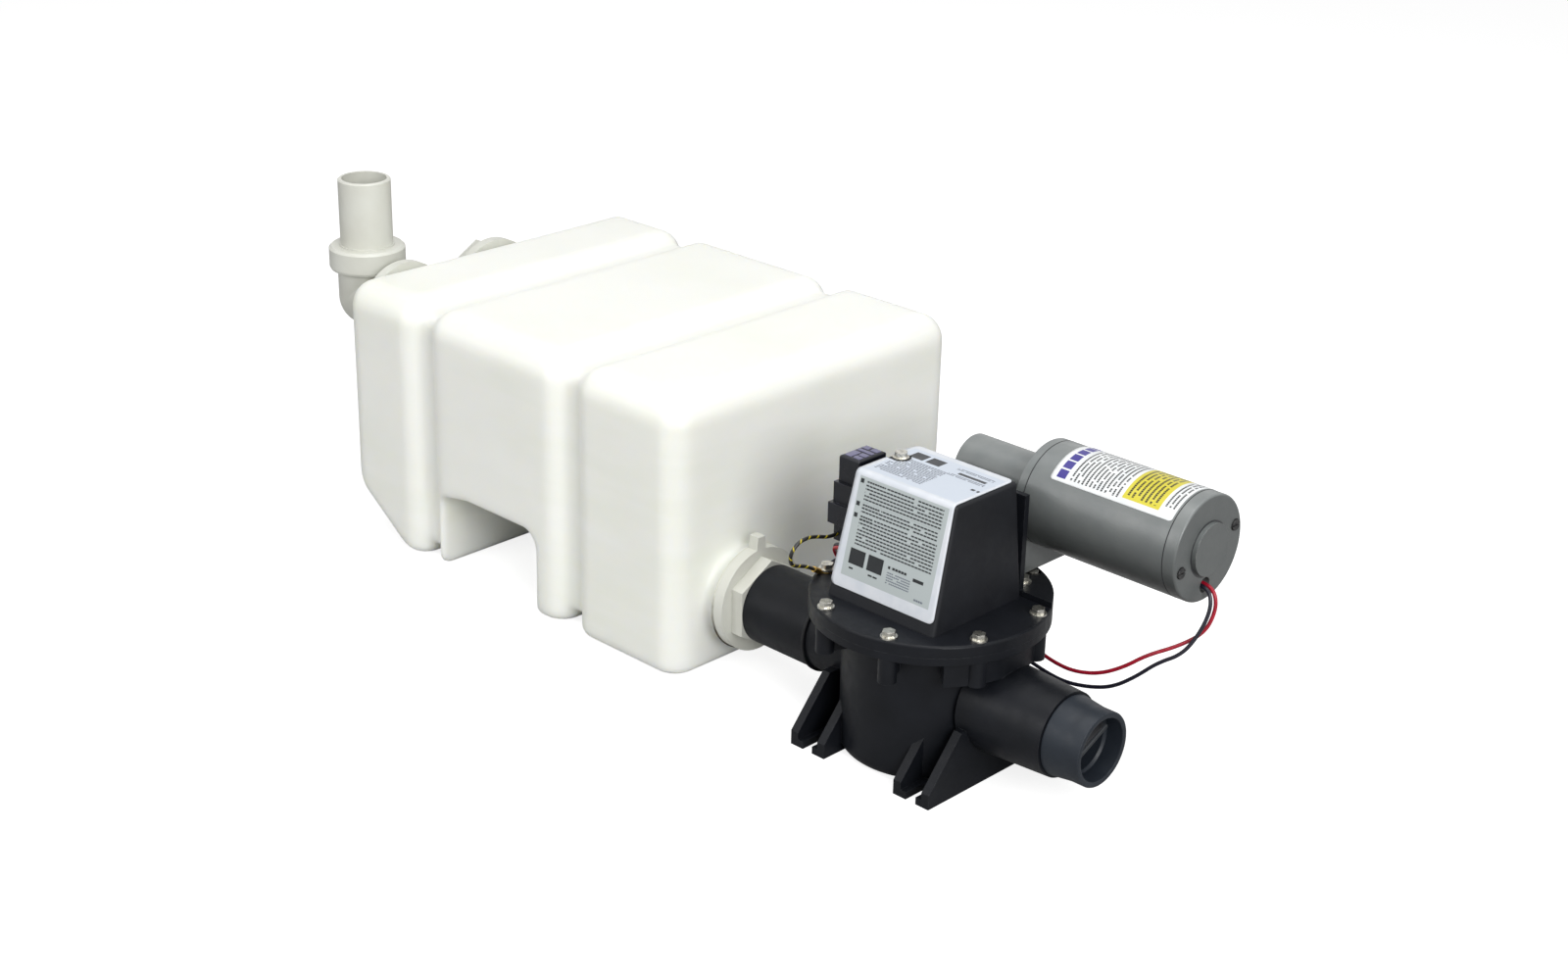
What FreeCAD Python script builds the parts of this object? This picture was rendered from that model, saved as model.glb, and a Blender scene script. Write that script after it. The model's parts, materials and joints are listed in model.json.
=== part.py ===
import FreeCAD, Part
import math
import os
import Sketcher

os.makedirs("parts", exist_ok=True)

# Frame: the origin is on the floor under the axis of the pump's round body.
# X runs from the vacuum tank through the pump to the outlet, Y runs across, Z is up.

DRIVING = {
    # vacuum tank
    "tank_length": 357,
    "tank_width": 276,
    "tank_height": 200,
    "tank_wall": 4,
    "tank_gap": 171,
    "tank_side": 59.5,
    "lobe_round": 17,
    "foot_round": 8,
    "groove_deep": 9,
    "groove_wide": 11,
    "near_groove": 110,
    "far_groove": 89,
    "core_round": 9,
    "tunnel_from": 150,
    "tunnel_to": 104,
    "tunnel_high": 57,
    "tunnel_round": 9,
    "toe_long": 54,
    "toe_high": 34,
    # tank ports
    "port_drop": 38,
    "port_pitch": 87,
    "port_radius": 26,
    "port_flange": 30,
    "port_pad": 34,
    "port_pad_thick": 4,
    "neck_long": 14,
    "neck_radius": 31,
    "port_flange_thick": 4,
    "gasket_thick": 3,
    "ring_nut_radius": 37,
    "ring_nut_thick": 8,
    "lug_radius": 46,
    "lug_wide": 9,
    "lug_turn": 90,
    "adapter_long": 10,
    "adapter_corner": 32,
    "adapter_overlap": 4,
    "elbow_reach": 48,
    "elbow_radius": 23,
    "elbow_collar": 30,
    "elbow_collar_long": 6.5,
    "elbow_rise": 24,
    "union_radius": 29,
    "union_long": 18,
    "stub_radius": 20,
    "stub_shoulder": 21,
    "stub_bore": 17,
    "stub_top": 255,
    "cap_nut_long": 16,
    # pipework and valves
    "nozzle_high": 51,
    "flow_bore": 20,
    "pipe_radius": 27.5,
    "pipe_end": 82,
    "spigot_radius": 23,
    "spigot_long": 22,
    "valve_bore": 18.5,
    "valve_out_first": 66,
    "valve_out_last": 100,
    "valve_in_first": 128,
    "valve_in_last": 92,
    "neck_in_radius": 26.5,
    "neck_out_root": 31,
    "neck_out_radius": 28,
    "neck_out_end": 113,
    "nozzle_root": 26.5,
    "nozzle_tip": 24.5,
    "nozzle_end": 140,
    "nozzle_tip_long": 14,
    "valve_collar": 4,
    "valve_long": 30,
    "valve_throat": 15,
    "valve_lip_thick": 5,
    "valve_lip_wide": 35,
    "valve_slit": 0.8,
    "valve_tilt": 25,
    # pump body
    "drum_radius": 55,
    "drum_wall": 5,
    "drum_floor": 1,
    "drum_round": 7,
    "flange_high": 100,
    "flange_radius": 77,
    "flange_thick": 5,
    "rim_radius": 72,
    "rim_low": 78,
    "rim_half_out": 42,
    "rim_half_in": 66,
    "boss_radius": 6,
    "screw_circle": 71,
    "screw_count": 8,
    "screw_turn": 20,
    "plate_thick": 8,
    "plate_hole": 33,
    "rail_pitch": 44,
    "rail_wide": 29,
    "rail_rib": 6,
    "rail_reach": 62.5,
    "rail_tip": 10,
    "rail_top": 43,
    "rail_top_half": 34,
    "rail_floor": 5,
    "slot_wide": 8,
    "slot_deep": 14,
    # screws
    "screw_radius": 2.4,
    "screw_long": 16,
    "washer_radius": 5.4,
    "washer_thick": 1.2,
    "screw_head": 4.3,
    "screw_head_high": 3.2,
    "terminal_thick": 0.8,
    # bellows and rod
    "bead_radius": 62,
    "bead_thick": 2.5,
    "bellows_radius": 46,
    "bellows_waist": 37,
    "bellows_wall": 3,
    "bellows_folds": 2,
    "bellows_low": 80,
    "disc_radius": 28,
    "disc_thick": 3,
    "bolt_radius": 4,
    "bolt_long": 20,
    "bolt_head": 7,
    "bolt_head_high": 5,
    "throw": 10,
    "rod_thick": 12,
    "rod_wide": 12,
    "rod_eye": 14,
    "rod_foot": 13,
    "rod_foot_high": 5,
    "rod_bearing": 9.5,
    "pin_radius": 5,
    "pin_gap": 0.3,
    # drive
    "crank_radius": 18,
    "crank_back": 19,
    "crank_front": 9,
    "shaft_radius": 6,
    "shaft_end": 97,
    "drive_reach": 75,
    "drive_high": 165,
    "worm_pitch_radius": 5,
    "worm_addendum": 1,
    "wheel_teeth": 30,
    "wheel_pitch_radius": 21,
    "wheel_wide": 8,
    "wheel_hub": 11,
    "wheel_hub_long": 17,
    "tooth_deep": 1.5,
    "tooth_thick": 1.7,
    "thread_thick": 1.4,
    "thread_turns": 6,
    "worm_bearing": 9,
    "worm_bearing_wide": 6,
    "case_half": 30,
    "case_back": 105,
    "case_low": 113,
    "case_top": 166,
    "case_round": 5,
    "case_screw_inset": 4,
    "snout_radius": 20,
    "snout_end": 32,
    "snout_wall": 3,
    "chamber_gap": 1.5,
    "chamber_deep": 90,
    "lid_thick": 4,
    "stand_thick": 4,
    "stand_half": 42,
    "stand_top": 176,
    "stand_hole": 15,
    "stand_screw_side": 36,
    "stand_screw_reach": 47,
    "stand_foot_thick": 4,
    "stand_screw_long": 11,
    "bearing_wide": 7,
    "shaft_bearing": 10,
    "lid_boss": 14,
    # motor
    "motor_radius": 34.5,
    "motor_wall": 2,
    "motor_front": 30,
    "bell_thick": 6,
    "can_end": 143,
    "cap_thick": 9,
    "cap_boss": 17,
    "cap_boss_high": 3,
    "cap_screw_circle": 28,
    "cap_screw_turn": 16,
    "armature_radius": 22,
    "armature_from": 56,
    "armature_to": 110,
    "rotor_shaft": 4,
    "magnet_arc": 130,
    "commutator_radius": 10,
    "commutator_from": 119,
    "commutator_to": 132,
    "brush_wide": 6,
    "brush_long": 12,
    "brush_deep": 9,
    "holder_bore": 7,
    "holder_thick": 3,
    "tie_bolt": 2,
    "tie_head": 3.6,
    "tie_head_high": 2.2,
    "air_gap": 1.5,
    "grommet_radius": 5,
    "grommet_drop": 24,
    "grommet_sink": 5,
    # cover and switch
    "cover_half_low": 44,
    "cover_half_top": 41,
    "cover_front_low": 49,
    "cover_front_top": 29,
    "cover_back_low": 36,
    "cover_back_top": 29,
    "cover_top": 188,
    "cover_wall": 3,
    "cover_round": 3,
    "post_side": 33,
    "post_reach": 4,
    "post_radius": 4,
    "post_screw_long": 14,
    "switch_low": 130,
    "switch_band_low": 142,
    "switch_band_top": 156,
    "switch_collar_top": 170,
    "switch_top": 188,
    "switch_seat": 3,
    "switch_reach": 63,
    "switch_foot": 1.5,
    "switch_band": 4.5,
    "switch_collar": 2.2,
    "switch_front": 20,
    "switch_back": 5,
    "bracket_thick": 2,
    "bracket_foot": 16,
    "bracket_top": 148,
    # wiring
    "lead_radius": 1.25,
    "lead_pitch": 3.6,
    "terminal_reach": 7.6,
    "barrel_long": 6,
    "barrel_lift": 31,
    "barrel_radius": 1.9,
    # clearances
    "running_gap": 0.3,
    "press_gap": 0.02,
    "slide_gap": 0.05,
}

doc = FreeCAD.newDocument("VacuumPump")
sheet = doc.addObject("Spreadsheet::Sheet", "sizes")


class Dim:
    """A number together with the sheet formula that gives it."""

    def __init__(self, value, text):
        self.value = float(value)
        self.text = text

    def __add__(self, other):
        other = dim(other)
        return Dim(self.value + other.value, f"({self.text} + {other.text})")

    def __sub__(self, other):
        other = dim(other)
        return Dim(self.value - other.value, f"({self.text} - {other.text})")

    def __mul__(self, other):
        other = dim(other)
        return Dim(self.value * other.value, f"({self.text} * {other.text})")

    def __truediv__(self, other):
        other = dim(other)
        return Dim(self.value / other.value, f"({self.text} / {other.text})")

    def __neg__(self):
        return dim(0) - self

    def __radd__(self, other):
        return dim(other) + self

    def __rsub__(self, other):
        return dim(other) - self

    def __rmul__(self, other):
        return dim(other) * self

    def __rtruediv__(self, other):
        return dim(other) / self


def dim(number):
    """Give a plain number the same methods as a size of the sheet."""
    if isinstance(number, Dim):
        return number
    text = f"{abs(float(number)):.6f}"
    return Dim(number, f"(0 - {text})" if number < 0 else text)


def cosine(degrees):
    degrees = dim(degrees)
    return Dim(math.cos(math.radians(degrees.value)), f"cos({degrees.text} * 1deg)")


def sine(degrees):
    degrees = dim(degrees)
    return Dim(math.sin(math.radians(degrees.value)), f"sin({degrees.text} * 1deg)")


class Sizes:
    """The driving sizes by name, each tied to its cell in the sheet."""

    def __init__(self, values):
        for row, (word, value) in enumerate(values.items(), start=1):
            sheet.set(f"A{row}", word)
            sheet.set(f"B{row}", f"{value}")
            sheet.setAlias(f"B{row}", word)
            setattr(self, word, Dim(value, f"sizes.{word}"))


D = Sizes(DRIVING)
doc.recompute()

nodes = []


def bind(item, path, number):
    """Tie one property of an object to a size, or set it to a plain number."""
    number = dim(number)
    item.setExpression(path, number.text)


def move(item, at):
    for letter, number in zip("xyz", at):
        bind(item, f"Placement.Base.{letter}", number)


def node(item, label):
    """Name an object as a finished piece of the pump."""
    item.Label = label
    nodes.append(item)
    return item


ALONG = {
    "X": FreeCAD.Rotation(FreeCAD.Vector(0, 1, 0), 90),
    "Y": FreeCAD.Rotation(FreeCAD.Vector(1, 0, 0), -90),
    "Z": FreeCAD.Rotation(),
}


def block(low, high):
    """A box between two corners."""
    item = doc.addObject("Part::Box", "block")
    for name, a, b in zip(("Length", "Width", "Height"), low, high):
        bind(item, name, dim(b) - a)
    move(item, low)
    return item


def round_bar(radius, at, length, along="Z"):
    """A cylinder that starts at a point and runs along one axis."""
    item = doc.addObject("Part::Cylinder", "round_bar")
    bind(item, "Radius", radius)
    bind(item, "Height", length)
    item.Placement.Rotation = ALONG[along]
    move(item, at)
    return item


def sector_bar(radius, at, length, start, sweep):
    """An upright slice of a cylinder that starts at one bearing and opens by another angle."""
    item = doc.addObject("Part::Cylinder", "sector_bar")
    bind(item, "Radius", radius)
    bind(item, "Height", length)
    bind(item, "Angle", sweep)
    move(item, at)
    bind(item, "Placement.Rotation.Angle", start)
    return item


def taper_bar(first, last, at, length, along="Z"):
    item = doc.addObject("Part::Cone", "taper_bar")
    bind(item, "Radius1", first)
    bind(item, "Radius2", last)
    bind(item, "Height", length)
    item.Placement.Rotation = ALONG[along]
    move(item, at)
    return item


def ball(radius, at):
    item = doc.addObject("Part::Sphere", "ball")
    bind(item, "Radius", radius)
    move(item, at)
    return item


def join(*items):
    item = doc.addObject("Part::MultiFuse", "join")
    item.Shapes = list(items)
    item.Refine = True
    return item


def group(*items):
    """Separate solids of one kind kept in one piece."""
    item = doc.addObject("Part::Compound", "group")
    item.Links = list(items)
    return item


def cut(base, *tools):
    item = doc.addObject("Part::Cut", "cut")
    item.Base = base
    item.Tool = tools[0] if len(tools) == 1 else join(*tools)
    return item


def overlap(first, second):
    item = doc.addObject("Part::Common", "overlap")
    item.Base = first
    item.Tool = second
    return item


def soften(item, radius, wanted):
    """Round the edges of a finished shape that a test picks out."""
    doc.recompute()
    edges = [k for k, edge in enumerate(item.Shape.Edges, start=1) if wanted(edge)]
    result = doc.addObject("Part::Fillet", "soft")
    result.Base = item
    result.Edges = [(k, radius.value, radius.value) for k in edges]
    return result


def body(label):
    """An empty body for a finished piece."""
    return node(doc.addObject("PartDesign::Body", label), label)


def plane(owner, role):
    return [f for f in owner.Origin.OriginFeatures if f.Role == role][0]


def sketch(owner, role, lift=None):
    item = owner.newObject("Sketcher::SketchObject", "profile")
    item.AttachmentSupport = (plane(owner, role), [""])
    item.MapMode = "FlatFace"
    if lift is not None:
        bind(item, "AttachmentOffset.Base.z", lift)
    return item


def outline(item, points):
    """A closed outline of straight sides whose corners are tied to sizes."""
    corners = [(dim(a), dim(b)) for a, b in points]
    first = item.GeometryCount
    count = len(corners)
    for k in range(count):
        a, b = corners[k]
        c, d = corners[(k + 1) % count]
        start = FreeCAD.Vector(a.value, b.value, 0)
        end = FreeCAD.Vector(c.value, d.value, 0)
        item.addGeometry(Part.LineSegment(start, end), False)
    for k in range(count):
        after = first + (k + 1) % count
        item.addConstraint(Sketcher.Constraint("Coincident", first + k, 2, after, 1))
    for k, corner in enumerate(corners):
        for kind, number in zip(("DistanceX", "DistanceY"), corner):
            rule = Sketcher.Constraint(kind, -1, 1, first + k, 1, number.value)
            place = item.addConstraint(rule)
            item.setExpression(f"Constraints[{place}]", number.text)


TURNING = {
    "X": ("XZ_Plane", "H_Axis"),
    "Y": ("YZ_Plane", "H_Axis"),
    "Z": ("XZ_Plane", "V_Axis"),
}


def turn(owner, along, points, kind="PartDesign::Revolution"):
    """Revolve an outline of (station, radius) pairs about one axis of the piece."""
    role, axis = TURNING[along]
    item = sketch(owner, role)
    outline(item, [(r, z) for z, r in points] if along == "Z" else points)
    feature = owner.newObject(kind, "turned")
    feature.Profile = item
    feature.ReferenceAxis = (item, [axis])
    feature.Angle = 360
    return feature


def turned(label, along, at, *profiles):
    """A piece made on the lathe: each outline adds a ring of (station, radius) pairs."""
    owner = body(label)
    for points in profiles:
        turn(owner, along, points)
    move(owner, at)
    return owner


def ring(start, end, inner, outer):
    """The outline of a plain ring."""
    return [(start, inner), (end, inner), (end, outer), (start, outer)]


def pad(owner, item, length):
    feature = owner.newObject("PartDesign::Pad", "pad")
    feature.Profile = item
    bind(feature, "Length", length)
    return feature


def polygon(sides, corner, turn_by=0):
    """Corners of a regular polygon of a given corner radius."""
    angles = [dim(turn_by) + 360 * k / sides for k in range(sides)]
    return [(cosine(a) * corner, sine(a) * corner) for a in angles]


def prism(role, points, start, end):
    """A straight-sided block: an outline on a plane, carried from one station to another."""
    owner = doc.addObject("PartDesign::Body", "prism")
    item = sketch(owner, role, -dim(end) if role == "XZ_Plane" else start)
    outline(item, points)
    pad(owner, item, dim(end) - start)
    return owner


def hexagon(corner, at, length):
    """An upright six-sided head."""
    item = doc.addObject("Part::Prism", "hexagon")
    item.Polygon = 6
    bind(item, "Circumradius", corner)
    bind(item, "Height", length)
    move(item, at)
    return item


# Places worked out from the driving sizes
near_face = -D.tank_gap
far_face = near_face - D.tank_length
port_high = D.tank_height - D.port_drop
elbow_top = port_high + D.elbow_rise
tank_left = -D.tank_side
tank_right = tank_left + D.tank_width
far_out = far_face - D.ring_nut_thick
elbow_x = far_face - D.elbow_reach
flange_low = D.flange_high - D.flange_thick
plate_top = D.flange_high + D.plate_thick
drum_inside = D.drum_radius - D.drum_wall
shaft_high = D.drive_high - D.worm_pitch_radius - D.wheel_pitch_radius
pin_high = shaft_high + D.throw
stand_face = D.cover_back_low + D.running_gap
lid_face = stand_face + D.stand_thick
case_face = lid_face + D.lid_thick
switch_side = -D.cover_half_low - D.running_gap
bracket_face = switch_side - D.bracket_thick
switch_middle = (D.switch_back - D.switch_front) / 2
post_place = (-D.post_side, D.post_reach)
bracket_place = (bracket_face - D.bracket_foot / 2, switch_middle)
screw_angles = [D.screw_turn + 360.0 * k / D.screw_count for k in range(round(D.screw_count.value))]
ground_screw_index = round(D.screw_count.value) // 2


def on_circle(radius, angle):
    return cosine(angle) * radius, sine(angle) * radius


def lobe(start, end, inset):
    """One rounded lobe of the tank between two stations, drawn in by an inset."""
    low = (near_face - end + inset, tank_left + inset, inset)
    high = (near_face - start - inset, tank_right - inset, D.tank_height - inset)
    upper = lambda edge: edge.BoundBox.ZMax > low[2].value + 1
    body_of_lobe = soften(block(low, high), D.lobe_round - inset, upper)
    under = lambda edge: edge.BoundBox.ZMax < low[2].value + 0.01
    return soften(body_of_lobe, D.foot_round - inset, under)


def tank_core(inset):
    """The narrower middle that joins the lobes and leaves the grooves between them."""
    deep = D.groove_deep + inset
    low = (far_face + D.toe_long, tank_left + deep, deep)
    high = (near_face - D.toe_long, tank_right - deep, D.tank_height - deep)
    lengthwise = lambda edge: edge.BoundBox.XLength > 1
    return soften(block(low, high), D.core_round, lengthwise)


def tunnel(grown):
    """The passage through the middle lobe, larger by a margin on every side."""
    low = (far_face + D.tunnel_to - grown, tank_left - 1, -1)
    high = (near_face - D.tunnel_from + grown, tank_right + 1, D.tunnel_high + grown)
    roof = lambda edge: edge.BoundBox.YLength > 1 and edge.BoundBox.ZMax > D.tunnel_high.value - 1
    return soften(block(low, high), D.tunnel_round + grown, roof)


def toe(grown):
    """The wedge missing from the far bottom edge of the last lobe."""
    corner = far_face + D.toe_long + grown
    points = [
        (far_face - 1, -1),
        (corner, -1),
        (corner, 0),
        (corner - D.toe_long * 0.45, D.toe_high * 0.38 + grown),
        (far_face, D.toe_high + grown * 2),
        (far_face - 1, D.toe_high + grown * 2),
    ]
    return prism("XZ_Plane", points, tank_left - 1, tank_right + 1)


def tank_form(inset):
    """The tank's outer form, or the same form drawn in by the wall."""
    half = D.groove_wide / 2
    last = D.tank_length - D.far_groove
    near = lobe(dim(0), D.near_groove - half, inset)
    middle = lobe(D.near_groove + half, last - half, inset)
    far = lobe(last + half, D.tank_length, inset)
    return cut(join(near, middle, far, tank_core(inset)), tunnel(inset), toe(inset))


def port_holes():
    """The three holes that the screwed fittings pass through."""
    reach = D.tank_wall * 3
    radius = D.port_radius + D.running_gap
    outlet = round_bar(radius, (near_face - reach, 0, D.nozzle_high), reach * 2 + D.neck_long, "X")
    inlet = round_bar(radius, (far_face - reach, 0, port_high), reach * 2, "X")
    spare = round_bar(radius, (far_face - reach, D.port_pitch, port_high), reach * 2, "X")
    return outlet, inlet, spare


def port_pads(start, thick):
    """Flat round seats at the two far ports, from a station near the far face."""
    return (
        round_bar(D.port_pad, (start, 0, port_high), thick, "X"),
        round_bar(D.port_pad, (start, D.port_pitch, port_high), thick, "X"),
    )


def tank_shell():
    """The hollow tank, thickened at its ports where the gaskets seat, with a neck at the outlet."""
    neck_start = (near_face - D.lobe_round / 2, 0, D.nozzle_high)
    neck = round_bar(D.neck_radius, neck_start, D.lobe_round / 2 + D.neck_long, "X")
    outside = join(tank_form(dim(0)), *port_pads(far_face, D.lobe_round), neck)
    near_pad_start = near_face - D.tank_wall - D.port_pad_thick
    near_pad = round_bar(D.port_pad, (near_pad_start, 0, D.nozzle_high), D.port_pad_thick * 2, "X")
    hollow = cut(tank_form(D.tank_wall), *port_pads(far_face, D.tank_wall + D.port_pad_thick), near_pad)
    return cut(outside, hollow, *port_holes())


node(tank_shell(), "tank_shell")
port_wall = D.tank_wall + D.port_pad_thick


def gasket_ring(at, side, neck=0):
    """A flat rubber ring inside the tank wall, on the side that the port faces."""
    start = at[0] - side * (port_wall + neck)
    low = start - D.gasket_thick if side > 0 else start
    outer = round_bar(D.port_flange, (low, at[1], at[2]), D.gasket_thick, "X")
    inner = round_bar(D.port_radius, (low, at[1], at[2]), D.gasket_thick, "X")
    return cut(outer, inner)


def bulkhead(label, at, side, neck=0):
    """The threaded sleeve through the wall and neck, with its flange inside the tank."""
    back = -side * (port_wall + neck + D.gasket_thick + D.port_flange_thick)
    flange = back + side * D.port_flange_thick
    front = side * (D.ring_nut_thick + D.adapter_overlap)
    points = [
        (back, D.flow_bore),
        (front, D.flow_bore),
        (front, D.port_radius),
        (flange, D.port_radius),
        (flange, D.port_flange),
        (back, D.port_flange),
    ]
    return turned(label, "X", at, points)


def ring_nut(label, at, side):
    """The ring nut with one lug that pulls the sleeve tight from outside."""
    low = dim(0) if side > 0 else -D.ring_nut_thick
    owner = turned(label, "X", at, ring(low, low + D.ring_nut_thick, D.port_radius, D.ring_nut_radius))
    item = sketch(owner, "YZ_Plane", low)
    inner = D.ring_nut_radius - 3
    half = D.lug_wide / 2
    corners = [(inner, -half), (D.lug_radius, -half * 0.7), (D.lug_radius, half * 0.7), (inner, half)]
    turned_by = D.lug_turn if side > 0 else -D.lug_turn
    outline(item, [spun(corner, turned_by) for corner in corners])
    pad(owner, item, D.ring_nut_thick)
    return owner


def spun(corner, angle):
    """A point of an outline turned about the centre."""
    a, b = corner
    return a * cosine(angle) - b * sine(angle), a * sine(angle) + b * cosine(angle)


outlet_port = (near_face + D.neck_long, 0, D.nozzle_high)
inlet_port = (far_face, 0, port_high)
spare_port = (far_face, D.port_pitch, port_high)
gaskets = [gasket_ring(outlet_port, 1, D.neck_long), gasket_ring(inlet_port, -1), gasket_ring(spare_port, -1)]
node(group(*gaskets), "port_gaskets")
bulkhead("outlet_bulkhead", outlet_port, 1, D.neck_long)
bulkhead("inlet_bulkhead", inlet_port, -1)
bulkhead("spare_bulkhead", spare_port, -1)
ring_nut("outlet_ring_nut", outlet_port, 1)
ring_nut("inlet_ring_nut", inlet_port, -1)
ring_nut("spare_ring_nut", spare_port, -1)


def hex_fitting(label, low, length, bore_low, bore_high, at):
    """A six-sided fitting along X, counterbored from both ends to given radii and depths."""
    owner = body(label)
    item = sketch(owner, "YZ_Plane", low)
    outline(item, polygon(6, D.adapter_corner, 30))
    pad(owner, item, length)
    for radius, start, depth in (bore_low, bore_high):
        turn(owner, "X", ring(start, start + depth, 0, radius), "PartDesign::Groove")
    move(owner, at)
    return owner


adapter_low = outlet_port[0] + D.ring_nut_thick
adapter_high = adapter_low + D.adapter_long
hex_fitting(
    "outlet_hex_adapter",
    adapter_low,
    D.adapter_long,
    (D.port_radius, adapter_low, D.adapter_overlap),
    (D.spigot_radius, adapter_low + D.adapter_overlap, D.adapter_long - D.adapter_overlap),
    (0, 0, D.nozzle_high),
)
cap_low = far_out - D.cap_nut_long
hex_fitting(
    "spare_cap",
    cap_low,
    D.cap_nut_long,
    (D.port_radius, far_out - D.adapter_overlap, D.adapter_overlap),
    (D.flow_bore, far_out - D.adapter_overlap * 1.5, D.adapter_overlap),
    (0, D.port_pitch, port_high),
)


def elbow():
    """The quarter-turn fitting on the far end, from the port up to the union."""
    bore = D.elbow_radius - D.tank_wall
    level = (elbow_x, 0, port_high)
    out = far_out - elbow_x
    rise = elbow_top - port_high
    collar = (far_out - D.elbow_collar_long, 0, port_high)
    recess = (far_out - D.adapter_overlap, 0, port_high)
    outside = join(
        round_bar(D.elbow_radius, level, out, "X"),
        round_bar(D.elbow_radius, level, rise),
        ball(D.elbow_radius, level),
        round_bar(D.elbow_collar, collar, D.elbow_collar_long, "X"),
    )
    inside = (
        round_bar(bore, level, out, "X"),
        round_bar(bore, level, rise),
        ball(bore, level),
        round_bar(D.port_radius, recess, D.adapter_overlap, "X"),
    )
    return cut(outside, *inside)


node(elbow(), "inlet_elbow")
stub_flange = elbow_top + D.gasket_thick
union_top = stub_flange + D.union_long - D.adapter_overlap
turned(
    "inlet_union_nut",
    "Z",
    (elbow_x, 0, 0),
    [
        (stub_flange - D.adapter_overlap, D.elbow_radius),
        (stub_flange - D.adapter_overlap, D.union_radius - 1),
        (stub_flange - D.adapter_overlap + 2, D.union_radius),
        (union_top - 2, D.union_radius),
        (union_top, D.union_radius - 2),
        (union_top, D.stub_shoulder),
        (stub_flange, D.stub_shoulder),
        (stub_flange, D.elbow_radius),
    ],
)
turned(
    "inlet_stub",
    "Z",
    (elbow_x, 0, 0),
    [
        (elbow_top, D.stub_bore),
        (D.stub_top, D.stub_bore),
        (D.stub_top, D.stub_radius - 1),
        (D.stub_top - 1, D.stub_radius),
        (union_top + 1, D.stub_radius),
        (union_top + 1, D.stub_shoulder),
        (stub_flange, D.stub_shoulder),
        (stub_flange, D.elbow_radius),
        (elbow_top, D.elbow_radius),
    ],
)

# Pipework and valves on the flow axis
flow_line = (0, 0, D.nozzle_high)
valve_in_seat = D.valve_in_first - D.valve_collar
turned(
    "inlet_pipe",
    "X",
    flow_line,
    [
        (adapter_low + D.adapter_overlap, D.flow_bore),
        (-valve_in_seat, D.flow_bore),
        (-valve_in_seat, D.valve_bore),
        (-D.valve_in_last, D.valve_bore),
        (-D.valve_in_last, D.flow_bore),
        (-D.pipe_end + D.spigot_long, D.flow_bore),
        (-D.pipe_end + D.spigot_long, D.spigot_radius),
        (-D.pipe_end, D.spigot_radius),
        (-D.pipe_end, D.pipe_radius),
        (adapter_high, D.pipe_radius),
        (adapter_high, D.spigot_radius),
        (adapter_low + D.adapter_overlap, D.spigot_radius),
    ],
)
valve_out_seat = D.valve_out_last + D.valve_collar
turned(
    "outlet_nozzle",
    "X",
    flow_line,
    [
        (D.neck_out_end - D.spigot_long, D.flow_bore),
        (valve_out_seat, D.flow_bore),
        (valve_out_seat, D.valve_bore),
        (D.nozzle_end, D.valve_bore),
        (D.nozzle_end, D.nozzle_tip - 1),
        (D.nozzle_end - 1, D.nozzle_tip),
        (D.nozzle_end - D.nozzle_tip_long, D.nozzle_tip),
        (D.neck_out_end, D.nozzle_root),
        (D.neck_out_end, D.spigot_radius),
        (D.neck_out_end - D.spigot_long, D.spigot_radius),
    ],
)


def duckbill(label, station):
    """A rubber valve: a collar whose sleeve flattens to a slit that points downstream."""
    length = D.valve_long - D.valve_collar

    def flattened(round_radius, wide, thick):
        mouth = doc.addObject("Part::Circle", "mouth")
        bind(mouth, "Radius", round_radius)
        move(mouth, (0, 0, D.valve_collar))
        lips = doc.addObject("Part::Ellipse", "lips")
        bind(lips, "MajorRadius", wide)
        bind(lips, "MinorRadius", thick)
        move(lips, (0, 0, D.valve_long))
        sleeve = doc.addObject("Part::Loft", "sleeve")
        sleeve.Sections = [mouth, lips]
        sleeve.Solid = True
        return sleeve

    wall = (D.valve_lip_thick - D.valve_slit) / 2
    outside = flattened(D.valve_throat + wall, D.valve_lip_wide / 2, D.valve_lip_thick / 2)
    inside = flattened(D.valve_throat, D.valve_lip_wide / 2 - wall, D.valve_slit / 2)
    collar = round_bar(D.flow_bore - D.press_gap, (0, 0, 0), D.valve_collar)
    throat = round_bar(D.valve_throat, (0, 0, 0), D.valve_collar)
    item = cut(join(collar, outside), inside, throat)
    tilt = FreeCAD.Rotation(FreeCAD.Vector(1, 0, 0), 90 + D.valve_tilt.value)
    item.Placement.Rotation = tilt.multiply(ALONG["X"])
    move(item, (station, 0, D.nozzle_high))
    return node(item, label)


duckbill("inlet_valve_first", -D.valve_in_first)
duckbill("inlet_valve_last", -D.valve_in_last)
duckbill("outlet_valve_first", D.valve_out_first)
duckbill("outlet_valve_last", D.valve_out_last)


def rail(side):
    """One foot rail: two gusset ribs joined by a floor that is slotted at both tips."""
    centre = side * D.rail_pitch
    low = centre - D.rail_wide / 2
    high = centre + D.rail_wide / 2
    gusset = [
        (-D.rail_reach, 0),
        (D.rail_reach, 0),
        (D.rail_reach, D.rail_tip),
        (D.rail_top_half, D.rail_top),
        (-D.rail_top_half, D.rail_top),
        (-D.rail_reach, D.rail_tip),
    ]
    return (
        prism("YZ_Plane", gusset, low, low + D.rail_rib),
        prism("YZ_Plane", gusset, high - D.rail_rib, high),
        block((low, -D.rail_reach, 0), (high, D.rail_reach, D.rail_floor)),
    )


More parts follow.
